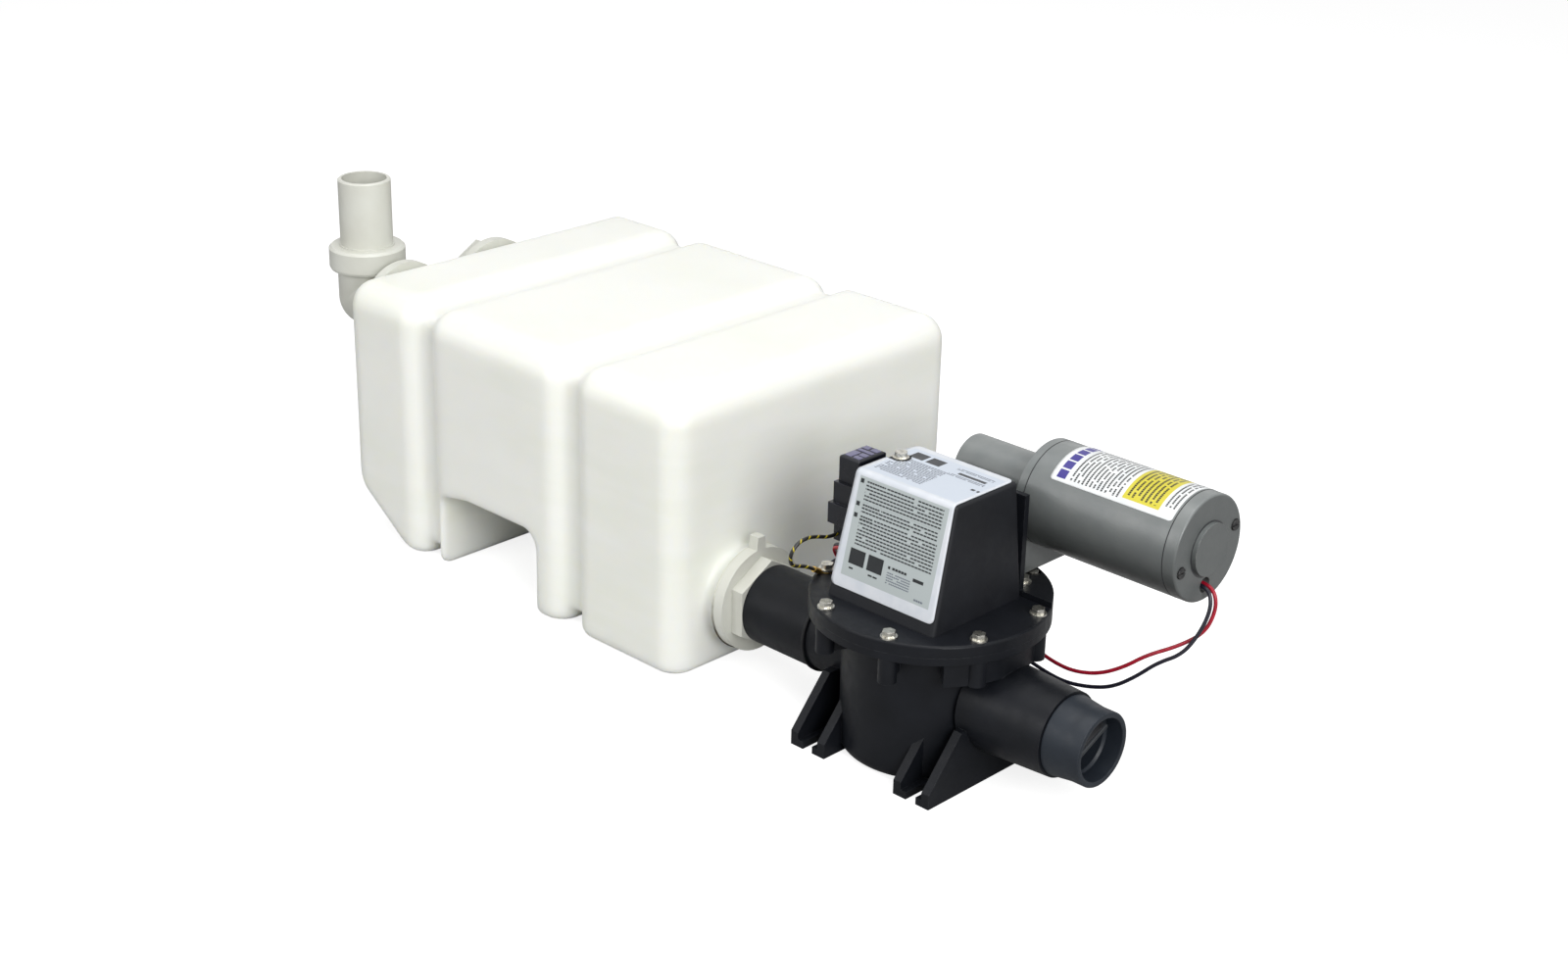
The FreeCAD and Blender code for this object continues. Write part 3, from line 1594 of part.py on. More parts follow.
lead("lead_black", [
    *from_anchor(grommet, [
        (0, -lead_half, 0),
        (7, -lead_half, 0),
        (12.5, -3, -5),
        (13.5, -5, -15),
        (10, -9, -29),
        (2.5, -13.5, -43.5),
    ]),
    *from_anchor(drum_back, [
        (134, 4, 36),
        (121, 1.5, 22.5),
        (106, -1, 10.5),
        (90, -3, 5),
        (72, -4, 2),
        (55, -2, 2),
        (38, 2, 2.5),
        (18, 6.5, 3),
        (-3, 8, 4),
        (-23, 5.5, 6),
        (-42, -1, 9),
        (-59, -10, 13),
        (-75, -20, 20),
        (-87, -32, 31),
    ]),
    *from_anchor(socket_under, [
        (-27, 18, -31),
        (-24.5, 12, -20),
        (-16, 8, -15),
        (-0.8, 3.6, -14),
        (5, 3.5, -8),
        (5, 3.5, 0),
    ]),
])
socket_front = (-D.switch_reach, switch_front - D.switch_foot, D.switch_low)
barrel_mouth = (
    ground_x,
    barrel_y - cosine(D.barrel_lift) * D.barrel_long,
    barrel_high + sine(D.barrel_lift) * D.barrel_long,
)
lead("switch_lead", [
    *from_anchor(socket_front, [
        (1.5, 0, 4.5),
        (1.5, -8, 4.5),
        (1.6, -17.5, 8),
        (1.8, -27.5, 10.5),
        (1.3, -36.5, 9),
        (0, -41.5, 2),
        (-1.5, -39, -6),
    ]),
    *from_anchor(barrel_mouth, [
        (0.8, -16.5, 7.5),
        (0, -6.857, 4.12),
        (0, 0, 0),
    ]),
])

doc.recompute()
for item in doc.Objects:
    faults = [word for word in ("Invalid", "Error") if word in item.State]
    if faults:
        raise ValueError(f"{item.Name} is {faults}")
labels = [item.Label for item in nodes]
if len(set(labels)) != len(labels):
    raise ValueError("two pieces share a name")
for item in nodes:
    if item.Shape.isNull() or not item.Shape.isValid() or not item.Shape.Solids:
        raise ValueError(f"{item.Label} has no sound solid")
for item in nodes:
    item.Shape.exportStep(f"parts/{item.Label}.step")
print(f"{len(nodes)} pieces written")
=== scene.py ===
"""Toilet vacuum pump: finishes, leads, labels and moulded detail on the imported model.

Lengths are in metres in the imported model's frame: the origin is on the floor under the axis
of the pump's round body, X runs from the tank to the outlet, Y runs across and Z is up.
"""

import json
import logging
import math
from dataclasses import dataclass, field
from enum import Enum

import bmesh
import bpy
import numpy as np
from mathutils import Matrix


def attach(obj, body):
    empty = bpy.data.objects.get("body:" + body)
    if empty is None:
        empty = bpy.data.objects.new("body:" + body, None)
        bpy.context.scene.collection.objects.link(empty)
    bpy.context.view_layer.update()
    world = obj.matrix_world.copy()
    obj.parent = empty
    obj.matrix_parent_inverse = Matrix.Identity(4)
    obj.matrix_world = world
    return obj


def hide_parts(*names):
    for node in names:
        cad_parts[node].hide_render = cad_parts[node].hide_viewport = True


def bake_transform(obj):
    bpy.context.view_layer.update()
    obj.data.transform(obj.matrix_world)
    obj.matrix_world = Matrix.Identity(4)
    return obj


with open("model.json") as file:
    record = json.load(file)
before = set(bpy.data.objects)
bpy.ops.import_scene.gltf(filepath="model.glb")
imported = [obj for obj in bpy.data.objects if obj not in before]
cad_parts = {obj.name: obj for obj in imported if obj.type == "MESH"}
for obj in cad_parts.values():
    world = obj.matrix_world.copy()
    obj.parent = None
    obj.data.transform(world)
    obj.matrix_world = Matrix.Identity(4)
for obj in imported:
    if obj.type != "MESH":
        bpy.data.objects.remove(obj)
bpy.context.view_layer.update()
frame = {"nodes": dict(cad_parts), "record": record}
LOG = logging.getLogger("vacuum_pump")
MM = 0.001

Colour = tuple[float, float, float]
Point = tuple[float, float, float]
Value = float | tuple | bpy.types.NodeSocket

NOISE_RANGE = (0.3, 0.7)
EDGE_COSINES = (0.995, 0.86)
LABEL_GRID_PER_METRE = 10
MM_PER_LABEL_GRID = 100.0
ROW_SEED = 7.0
ROW_SHIFT = 5.0
MERGE_WITHIN = 1e-7
FILM_SHARE = 0.9


# Colours and node graphs


def paint(red: int, green: int, blue: int) -> Colour:
    """Turn a colour as it is seen on a screen, 0 to 255, into the light it stands for."""
    parts = [part / 255 for part in (red, green, blue)]
    return tuple(p / 12.92 if p <= 0.04045 else ((p + 0.055) / 1.055) ** 2.4 for p in parts)


class Graph:
    """The node tree of one material, built step by step."""

    def __init__(self, name: str) -> None:
        """Start an empty material.

        Args:
            name: its name.
        """
        self.material = bpy.data.materials.new(name)
        self.material.use_nodes = True
        self.tree = self.material.node_tree
        self.tree.nodes.clear()

    def add(self, kind: str, inputs: dict, output: int | str = 0, **settings) -> bpy.types.NodeSocket:
        """Add one node.

        Args:
            kind: the node's kind without its common prefix.
            inputs: what goes into each socket, a plain value or another node's output.
            output: which output is wanted.
            settings: properties of the node itself.

        Returns:
            The wanted output.
        """
        node = self.tree.nodes.new(f"ShaderNode{kind}")
        for word, value in settings.items():
            setattr(node, word, value)
        for key, value in inputs.items():
            self.feed(node.inputs[key], value)
        return node.outputs[output]

    def feed(self, socket: bpy.types.NodeSocket, value: Value) -> None:
        """Link an output to a socket, or set the socket to a plain value.

        Args:
            socket: the socket that takes it.
            value: another node's output, a number, or the numbers of a place or a colour.
        """
        if isinstance(value, bpy.types.NodeSocket):
            self.tree.links.new(value, socket)
        elif isinstance(value, tuple) and len(socket.default_value) == 4:
            socket.default_value = (*value[:3], 1.0)
        else:
            socket.default_value = value

    def place(self) -> bpy.types.NodeSocket:
        """Give the place on the object, in metres."""
        return self.add("TexCoord", {}, "Object")

    def noise(self, size: float, detail: float = 2.0, stretch: Point = (1, 1, 1)) -> Value:
        """Give cloudy noise from 0 to 1.

        Args:
            size: a cloud's typical size in metres.
            detail: how many finer layers lie on it.
            stretch: how many times longer a cloud is along each axis.

        Returns:
            The noise.
        """
        scale = tuple(1 / (size * part) for part in stretch)
        scaled = self.add("Mapping", {"Vector": self.place(), "Scale": scale})
        return self.add("TexNoise", {"Vector": scaled, "Scale": 1.0, "Detail": detail}, "Fac")

    def cells(self, size: float) -> Value:
        """Give the distance to the nearest of scattered points, as fine pebbled grain."""
        return self.add("TexVoronoi", {"Vector": self.place(), "Scale": 1 / size}, "Distance")

    def maths(self, step: str, *values: Value) -> Value:
        """Apply one step of arithmetic to values or outputs."""
        return self.add("Math", dict(enumerate(values)), operation=step)

    def remap(
        self, value: Value, low: float, high: float, to_low: float = 0.0, to_high: float = 1.0
    ) -> Value:
        """Stretch a range onto another, held at its ends."""
        return self.add("MapRange", {0: value, 1: low, 2: high, 3: to_low, 4: to_high})

    def spread(self, noise: Value, low: float = 0.0, high: float = 1.0) -> Value:
        """Stretch the middle part of a noise, where nearly all of it lies, onto a range."""
        return self.remap(noise, *NOISE_RANGE, low, high)

    def blend(self, share: Value, first: Value, second: Value) -> Value:
        """Mix two colours by a share from 0 to 1."""
        return self.add("Mix", {0: share, 6: first, 7: second}, 2, data_type="RGBA")

    def soft_edges(self, radius: float) -> Value:
        """Give the surface direction with edges rounded by a small radius."""
        return self.add("Bevel", {"Radius": radius}, samples=4)

    def edges(self, rounded: Value) -> Value:
        """Give 1 near an edge and 0 elsewhere, from how far rounding turned the surface.

        Args:
            rounded: the surface direction with rounded edges.

        Returns:
            The mask.
        """
        flat = self.add("NewGeometry", {}, "Normal")
        same = self.add("VectorMath", {0: rounded, 1: flat}, "Value", operation="DOT_PRODUCT")
        return self.remap(same, *EDGE_COSINES)

    def bump(self, height: Value, depth: float, normal: Value | None = None, strength: float = 1.0) -> Value:
        """Give the surface direction of a relief.

        Args:
            height: the relief, from 0 to 1.
            depth: how deep it is, in metres.
            normal: the surface direction that it is laid on.
            strength: its share.

        Returns:
            The surface direction.
        """
        inputs = {"Height": height, "Distance": depth, "Strength": strength}
        if normal is not None:
            inputs["Normal"] = normal
        return self.add("Bump", inputs)

    def finish(self, constants: dict, links: dict) -> bpy.types.Material:
        """End the graph in one surface shader.

        Args:
            constants: what is the same all over, set on the shader's own sockets.
            links: what changes over the surface.

        Returns:
            The material.
        """
        shader = self.tree.nodes.new("ShaderNodeBsdfPrincipled")
        for word, value in {**constants, **links}.items():
            self.feed(shader.inputs[word], value)
        output = self.tree.nodes.new("ShaderNodeOutputMaterial")
        self.tree.links.new(shader.outputs[0], output.inputs[0])
        return self.material


# Finishes


@dataclass(frozen=True)
class Moulding:
    """Moulded plastic or rubber: a mottled colour, fine grain, softened and slightly worn edges."""

    name: str
    colour: Colour
    second: Colour
    rough: float
    grain: float = 0.00035
    grain_deep: float = 0.00002
    wave: float = 0.018
    wave_deep: float = 0.0003
    edge: float = 0.0005
    wear: Colour = (0.3, 0.3, 0.3)
    wear_share: float = 0.25
    shine: float = 0.5
    cloud: float = 0.03
    rub: float = 0.004
    dull: float = 0.007

    def material(self) -> bpy.types.Material:
        """Build the nodes: two colours by slow clouds, roughness by finer ones, grain as relief.

        Returns:
            The material.
        """
        g = Graph(self.name)
        rounded = g.soft_edges(self.edge)
        clouds = g.spread(g.noise(self.cloud, 4.0))
        rubbed = g.maths("MULTIPLY", g.edges(rounded), g.remap(g.noise(self.rub, 3.0), 0.42, 0.62))
        tint = g.blend(clouds, self.colour, self.second)
        tint = g.blend(g.maths("MULTIPLY", rubbed, self.wear_share), tint, self.wear)
        rough = g.spread(g.noise(self.dull, 3.0), self.rough - 0.05, self.rough + 0.07)
        relief = g.bump(g.noise(self.wave, 1.0), self.wave_deep, rounded)
        relief = g.bump(g.cells(self.grain), self.grain_deep, relief, 0.6)
        links = {"Base Color": tint, "Roughness": rough, "Normal": relief}
        return g.finish({"Specular IOR Level": self.shine}, links)


@dataclass(frozen=True)
class Milk:
    """Thick milky blow-moulded plastic that lets light some way in."""

    name: str
    colour: Colour
    second: Colour
    depth: float = 0.012
    cloud: float = 0.11
    streak: float = 0.02
    dull: float = 0.012
    sag: tuple[float, float] = (0.045, 0.0009)
    grain: tuple[float, float] = (0.0016, 0.00004)

    def material(self) -> bpy.types.Material:
        """Build the nodes: a warm white with faint slow clouds and a softly uneven skin.

        Returns:
            The material.
        """
        g = Graph(self.name)
        clouds = g.remap(g.noise(self.cloud, 3.0), 0.32, 0.68)
        streaks = g.remap(g.noise(self.streak, 3.0, (6.0, 6.0, 1.0)), 0.35, 0.65)
        tint = g.blend(g.maths("MULTIPLY", clouds, streaks), self.colour, self.second)
        rough = g.spread(g.noise(self.dull, 4.0), 0.33, 0.46)
        relief = g.bump(g.noise(self.sag[0], 1.0), self.sag[1])
        relief = g.bump(g.noise(self.grain[0], 3.0), self.grain[1], relief)
        constants = {
            "Subsurface Weight": 0.6,
            "Subsurface Radius": (1.0, 0.92, 0.74),
            "Subsurface Scale": self.depth,
            "Specular IOR Level": 0.42,
        }
        links = {"Base Color": tint, "Roughness": rough, "Normal": relief}
        return g.finish(constants, links)


@dataclass(frozen=True)
class Metal:
    """Plated, cast or drawn metal with fine scratches and duller patches."""

    name: str
    colour: Colour
    dull: Colour
    rough: float
    scratch: Point = (8.0, 8.0, 1.0)
    edge: float = 0.0003
    spot: float = 0.003
    rub: float = 0.0015
    line: tuple[float, float] = (0.00025, 0.000012)

    def material(self) -> bpy.types.Material:
        """Build the nodes: a metal colour dulled by small clouds, with drawn scratches as relief.

        Returns:
            The material.
        """
        g = Graph(self.name)
        rounded = g.soft_edges(self.edge)
        spots = g.remap(g.noise(self.spot, 4.0), 0.42, 0.66)
        tint = g.blend(spots, self.colour, self.dull)
        rough = g.spread(g.noise(self.rub, 3.0), self.rough - 0.06, self.rough + 0.12)
        relief = g.bump(g.noise(self.line[0], 2.0, self.scratch), self.line[1], rounded)
        links = {"Base Color": tint, "Roughness": rough, "Normal": relief}
        return g.finish({"Metallic": 1.0}, links)


@dataclass(frozen=True)
class Enamel:
    """Sprayed grey enamel on metal: orange peel, a thin gloss, chipped edges and painted shade on its
    downward faces.
    """

    name: str
    colour: Colour
    second: Colour
    bare: Colour
    rough: float = 0.36
    # share of the colour left on downward faces: painted shade
    underside_shade: float = 0.28
    edge: float = 0.0006
    cloud: float = 0.02
    chip: float = 0.0022
    dull: float = 0.006
    peel: tuple[float, float] = (0.0011, 0.00006)

    def material(self) -> bpy.types.Material:
        """Build the nodes: an even grey with faint clouds, painted shade on the faces that turn downwards,
        and worn edges.

        Returns:
            The material.
        """
        g = Graph(self.name)
        rounded = g.soft_edges(self.edge)
        clouds = g.remap(g.noise(self.cloud, 4.0), 0.35, 0.65)
        tint = g.blend(clouds, self.colour, self.second)
        # painted shade: faces that turn downwards get a darker copy of the colour, standing in for the shade
        # underneath
        upward = g.remap(g.add("SeparateXYZ", {0: g.add("NewGeometry", {}, "Normal")}, 2), -0.6, 0.9)
        tint = g.blend(upward, tuple(part * self.underside_shade for part in self.colour), tint)
        chips = g.maths("MULTIPLY", g.edges(rounded), g.remap(g.noise(self.chip, 4.0), 0.56, 0.6))
        tint = g.blend(g.maths("MULTIPLY", chips, 0.6), tint, self.bare)
        rough = g.spread(g.noise(self.dull, 3.0), self.rough - 0.06, self.rough + 0.08)
        relief = g.bump(g.noise(self.peel[0], 2.0), self.peel[1], rounded)
        constants = {"Specular IOR Level": 0.6, "Coat Weight": 0.12, "Coat Roughness": 0.25}
        links = {"Base Color": tint, "Roughness": rough, "Normal": relief}
        return g.finish(constants, links)


@dataclass(frozen=True)
class Insulation:
    """Soft wire insulation, plain or with a second colour wound along it."""

    name: str
    colour: Colour
    stripe: Colour | None = None
    turns: float = 12.0
    stripe_share: float = 0.15
    shadow: float = 0.72
    cloud: float = 0.005
    dull: float = 0.002
    ripple: tuple[float, float] = (0.0012, 0.00003)

    def material(self) -> bpy.types.Material:
        """Build the nodes: a glossy skin, and a stripe that follows the wire's own grid.

        Returns:
            The material.
        """
        g = Graph(self.name)
        clouds = g.spread(g.noise(self.cloud, 3.0))
        darker = tuple(part * self.shadow for part in self.colour)
        tint = g.blend(clouds, self.colour, darker)
        if self.stripe is not None:
            own = g.add("UVMap", {})
            along = g.add("SeparateXYZ", {0: own}, 0)
            around = g.add("SeparateXYZ", {0: own}, 1)
            wound = g.maths("FRACT", g.maths("ADD", g.maths("MULTIPLY", along, self.turns), around))
            tint = g.blend(g.maths("LESS_THAN", wound, self.stripe_share), tint, self.stripe)
        rough = g.spread(g.noise(self.dull, 2.0), 0.3, 0.42)
        relief = g.bump(g.noise(self.ripple[0], 2.0), self.ripple[1])
        links = {"Base Color": tint, "Roughness": rough, "Normal": relief}
        return g.finish({"Specular IOR Level": 0.5}, links)


@dataclass(frozen=True)
class Block:
    """A plain printed block, given by its corners on the label in millimetres."""

    left: float
    top: float
    right: float
    bottom: float
    ink: Colour

    def mask(self, g: Graph, across: Value, down: Value) -> Value:
        """Give 1 inside the block and 0 outside.

        Args:
            g: the label's node tree.
            across: the place across the label, in millimetres.
            down: the place down the label, in millimetres.

        Returns:
            The mask.
        """
        inside = [
            g.maths("GREATER_THAN", across, self.left),
            g.maths("LESS_THAN", across, self.right),
            g.maths("GREATER_THAN", down, self.top),
            g.maths("LESS_THAN", down, self.bottom),
        ]
        first = g.maths("MULTIPLY", inside[0], inside[1])
        return g.maths("MULTIPLY", first, g.maths("MULTIPLY", inside[2], inside[3]))


@dataclass(frozen=True)
class Rules(Block):
    """Rows of short plain rules in a block, broken here and there by gaps. The pitch of the rows
    and the length of a dash are in millimetres, and the rest are shares."""

    pitch: float = 2.2
    weight: float = 0.36
    dash: float = 2.6
    gaps: float = 0.16
    word: float = 0.86

    def mask(self, g: Graph, across: Value, down: Value) -> Value:
        """Give 1 on a rule: the row's ink band, cut into words, less those that chance leaves out.

        Args:
            g: the label's node tree.
            across: the place across the label, in millimetres.
            down: the place down the label, in millimetres.

        Returns:
            The mask.
        """
        box = super().mask(g, across, down)
        row = g.maths("DIVIDE", g.maths("SUBTRACT", down, self.top), self.pitch)
        band = g.maths("LESS_THAN", g.maths("FRACT", row), self.weight)
        number = g.maths("FLOOR", row)
        start = g.add("TexWhiteNoise", {"Vector": g.add("CombineXYZ", {1: number, 2: ROW_SEED})}, "Value")
        shift = g.maths("MULTIPLY", start, ROW_SHIFT)
        shifted = g.maths("ADD", g.maths("DIVIDE", across, self.dash), shift)
        word = g.maths("LESS_THAN", g.maths("FRACT", shifted), self.word)
        cell = g.add("CombineXYZ", {0: g.maths("FLOOR", shifted), 1: number})
        chance = g.add("TexWhiteNoise", {"Vector": cell}, "Value")
        kept = g.maths("GREATER_THAN", chance, self.gaps)
        return g.maths("MULTIPLY", g.maths("MULTIPLY", box, band), g.maths("MULTIPLY", word, kept))


@dataclass(frozen=True)
class Print:
    """A printed label: a pale film with plain rules and blocks laid on its own grid."""

    name: str
    film: Colour
    shade: Colour
    marks: tuple[Block, ...]
    rough: float = 0.34
    cover: float = 0.96
    cloud: float = 0.012
    scuff: float = 0.005
    ripple: tuple[float, float] = (0.008, 0.00008)

    def material(self) -> bpy.types.Material:
        """Build the nodes: the film, then each mark in turn, with faint scuffs and ripples.

        Returns:
            The material.
        """
        g = Graph(self.name)
        own = g.add("UVMap", {})
        across = g.maths("MULTIPLY", g.add("SeparateXYZ", {0: own}, 0), MM_PER_LABEL_GRID)
        down = g.maths("MULTIPLY", g.add("SeparateXYZ", {0: own}, 1), MM_PER_LABEL_GRID)
        tint = g.blend(g.remap(g.noise(self.cloud, 3.0), 0.35, 0.65), self.film, self.shade)
        for mark in self.marks:
            tint = g.blend(g.maths("MULTIPLY", mark.mask(g, across, down), self.cover), tint, mark.ink)
        rough = g.spread(g.noise(self.scuff, 3.0), self.rough - 0.06, self.rough + 0.08)
        relief = g.bump(g.noise(self.ripple[0], 2.0), self.ripple[1])
        links = {"Base Color": tint, "Roughness": rough, "Normal": relief}
        return g.finish({"Specular IOR Level": 0.3}, links)


# Meshes


def grid_faces(rows: int, columns: int, round_rows: bool, round_columns: bool) -> np.ndarray:
    """Work out the four-sided faces between neighbouring points of a grid.

    Args:
        rows: how many rows of points there are.
        columns: how many points each row has.
        round_rows: whether the last row joins the first.
        round_columns: whether each row's last point joins its first.

    Returns:
        Point numbers, four to a face.
    """
    row = np.arange(rows if round_rows else rows - 1)[:, None]
    column = np.arange(columns if round_columns else columns - 1)[None, :]
    below, right = (row + 1) % rows, (column + 1) % columns
    this_row, next_row = row * columns, below * columns
    corners = (this_row + column, this_row + right, next_row + right, next_row + column)
    return np.stack(np.broadcast_arrays(*corners), -1).reshape(-1, 4)


def put_mesh(
    name: str, points: np.ndarray, faces: np.ndarray | list, own: np.ndarray | None = None
) -> bpy.types.Object:
    """Put points and faces into a new mesh object at the origin.

    Args:
        name: the piece's name.
        points: one row of three numbers per point.
        faces: point numbers of each face.
        own: the piece's own grid, two numbers per point.

    Returns:
        The object.
    """
    mesh = bpy.data.meshes.new(name)
    corners = faces.tolist() if isinstance(faces, np.ndarray) else faces
    mesh.from_pydata(points.reshape(-1, 3).tolist(), [], corners)
    if own is not None:
        numbers = np.empty(len(mesh.loops), np.int32)
        mesh.loops.foreach_get("vertex_index", numbers)
        layer = mesh.uv_layers.new(name="UVMap")
        layer.data.foreach_set("uv", own.reshape(-1, 2)[numbers].astype(np.float32).ravel())
    mesh.update()
    piece = bpy.data.objects.new(name, mesh)
    bpy.context.scene.collection.objects.link(piece)
    return piece


def close_up(piece: bpy.types.Object, angle: float = 35.0) -> bpy.types.Object:
    """Merge doubles, point the faces outwards and smooth all but the sharp edges.

    Args:
        piece: a closed mesh object.
        angle: the turn, in degrees, from which an edge stays sharp.

    Returns:
        The same object.
    """
    work = bmesh.new()
    work.from_mesh(piece.data)
    bmesh.ops.remove_doubles(work, verts=work.verts, dist=MERGE_WITHIN)
    bmesh.ops.recalc_face_normals(work, faces=work.faces)
    work.to_mesh(piece.data)
    work.free()
    piece.data.shade_smooth()
    piece.data.set_sharp_from_angle(angle=math.radians(angle))
    return piece


class Axis(Enum):
    """The axis that a turned piece goes round, and how its three measures become X, Y and Z."""

    X = (0, 1, 2)
    Z = (1, 2, 0)


def turned(
    name: str, outline: tuple | np.ndarray, at: Point, along: Axis, around: int = 120
) -> bpy.types.Object:
    """Carry an outline of (station, radius) pairs round one axis: radius times the cosine and
    sine of the turn gives the two cross axes, and the station gives the third.

    Args:
        name: the piece's name.
        outline: pairs in millimetres that go round the section and come back to the first one.
        at: where the axis starts.
        along: the axis.
        around: how many points one turn has.

    Returns:
        The object.
    """
    pairs = np.array(outline, float) * MM
    turn = np.linspace(0, 2 * math.pi, around, endpoint=False)
    first = pairs[:, 1, None] * np.cos(turn)
    second = pairs[:, 1, None] * np.sin(turn)
    station = np.broadcast_to(pairs[:, 0, None], first.shape)
    measures = (station, first, second)
    points = np.stack([measures[k] for k in along.value], -1) + np.array(at)
    return close_up(put_mesh(name, points, grid_faces(len(pairs), around, True, True)))


def pillow(name: str, low: Point, high: Point, corner: float, edge: float) -> bpy.types.Object:
    """A flat pad with round corners and a softened rim: rings of a rounded rectangle, whose
    inset and height follow a quarter circle at the rim, closed by one point in the middle.

    Args:
        name: the piece's name.
        low: its lowest corner.
        high: its highest corner.
        corner: how round its corners are.
        edge: how round its rim is.

    Returns:
        The object.
    """
    rim_points, corner_points, last_inset, least_corner = 5, 7, 0.7, 0.2
    low, high = np.array(low), np.array(high)
    middle, half = (low + high) / 2, (high - low) / 2
    turn = np.linspace(0, math.pi / 2, rim_points)
    insets = np.concatenate([[0.0], edge * (1 - np.cos(turn)), [half[:2].min() * last_inset]])
    heights = np.concatenate([[low[2]], high[2] - edge + edge * np.sin(turn), [high[2]]])
    quarter = np.linspace(0, math.pi / 2, corner_points)
    angle = np.concatenate([quarter + k * math.pi / 2 for k in range(4)])
    sign = np.repeat(np.array([(1, 1), (-1, 1), (-1, -1), (1, -1)]), corner_points, axis=0)
    rings = []
    for inset, height in zip(insets, heights):
        radius = max(corner - inset, corner * least_corner)
        centre = sign * (half[:2] - inset - radius)
        flat = centre + radius * np.stack([np.cos(angle), np.sin(angle)], 1) + middle[:2]
        rings.append(np.column_stack([flat, np.full(len(flat), height)]))
    points = np.concatenate(rings + [np.array([[*middle[:2], high[2]]])])
    count, last = len(angle), len(points) - 1
    faces = grid_faces(len(rings), count, False, True).tolist()
    start = (len(rings) - 1) * count
    faces += [(start + k, start + (k + 1) % count, last) for k in range(count)]
    faces.append(tuple(range(count - 1, -1, -1)))
    return close_up(put_mesh(name, points, faces), 50)


def join(name: str, pieces: list[bpy.types.Object]) -> bpy.types.Object:
    """Make several meshes of one kind into one piece.

    Args:
        name: the piece's name.
        pieces: the objects, which are used up.

    Returns:
        The object.
    """
    work = bmesh.new()
    for piece in pieces:
        work.from_mesh(piece.data)
        bpy.data.objects.remove(piece)
    mesh = bpy.data.meshes.new(name)
    work.to_mesh(mesh)
    work.free()
    mesh.shade_smooth()
    mesh.set_sharp_from_angle(angle=math.radians(40))
    whole = bpy.data.objects.new(name, mesh)
    bpy.context.scene.collection.objects.link(whole)
    return whole


def dress(piece: bpy.types.Object, material: bpy.types.Material) -> None:
    """Give a new piece its finish and its material slot, and let it ride on the base.

    Args:
        piece: the new piece.
        material: its finish.
    """
    piece.data.materials.clear()
    piece.data.materials.append(material)
    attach(piece, "base")


def film(name: str, points: np.ndarray, faces: np.ndarray, own: np.ndarray, lift: float) -> bpy.types.Object:
    """Make a thin label: its points lie on the printed face, and its thickness goes inwards,
    a little short of what it lies on.

    Args:
        name: the piece's name.
        points: rows of points on the printed face.
        faces: point numbers of each face.
        own: the label's own grid, two lengths in metres per point.
        lift: how far the printed face stands off what it lies on.

    Returns:
        The object.
    """
    piece = put_mesh(name, points, faces, own * LABEL_GRID_PER_METRE)
    piece.data.shade_smooth()
    thick = piece.modifiers.new("film", "SOLIDIFY")
    thick.thickness = lift * FILM_SHARE
    thick.offset = -1.0
    return piece


# Camera, light and floor


@dataclass
class Camera:
    """The photograph's camera: its place, its turn and its lens."""

    place: Point = (0.8776, -1.0590, 0.7588)
    yaw: float = 133.56
    pitch: float = 23.04
    roll: float = 1.38
    lens: float = 55.36
    sensor: float = 36.0
    clip: float = 0.05

    def build(self) -> None:
        """Aim the camera: the view direction comes from yaw and pitch, and roll turns its sides."""
        yaw, pitch, roll = (math.radians(a) for a in (self.yaw, self.pitch, self.roll))
        level = math.cos(pitch)
        ahead = np.array([level * math.cos(yaw), level * math.sin(yaw), -math.sin(pitch)])
        right = np.array([math.sin(yaw), -math.cos(yaw), 0.0])
        up = np.cross(right, ahead)
        across = right * math.cos(roll) + up * math.sin(roll)
        upright = up * math.cos(roll) - right * math.sin(roll)
        data = bpy.data.cameras.new("camera")
        data.lens = self.lens
        data.sensor_width = self.sensor
        data.clip_start = self.clip
        eye = bpy.data.objects.new("camera", data)
        bpy.context.scene.collection.objects.link(eye)
        turn = np.eye(4)
        turn[:3, :3] = np.stack([across, upright, -ahead], 1)
        turn[:3, 3] = self.place
        eye.matrix_world = Matrix(turn.tolist())
        bpy.context.scene.camera = eye


@dataclass(frozen=True)
class Lamp:
    """One square soft lamp: where it hangs, what it faces, its side in metres and its watts."""

    name: str
    place: Point
    target: Point
    side: float
    power: float

    def build(self) -> None:
        """Hang the lamp and turn it to its target."""
        data = bpy.data.lights.new(self.name, "AREA")
        data.size = self.side
        data.energy = self.power
        ahead = np.array(self.target) - np.array(self.place)
        ahead = ahead / np.linalg.norm(ahead)
        right = np.cross(ahead, (0.0, 0.0, 1.0))
        right = right / np.linalg.norm(right)
        turn = np.eye(4)
        turn[:3, :3] = np.stack([right, np.cross(right, ahead), -ahead], 1)
        turn[:3, 3] = self.place
        item = bpy.data.objects.new(self.name, data)
        bpy.context.scene.collection.objects.link(item)
        item.matrix_world = Matrix(turn.tolist())


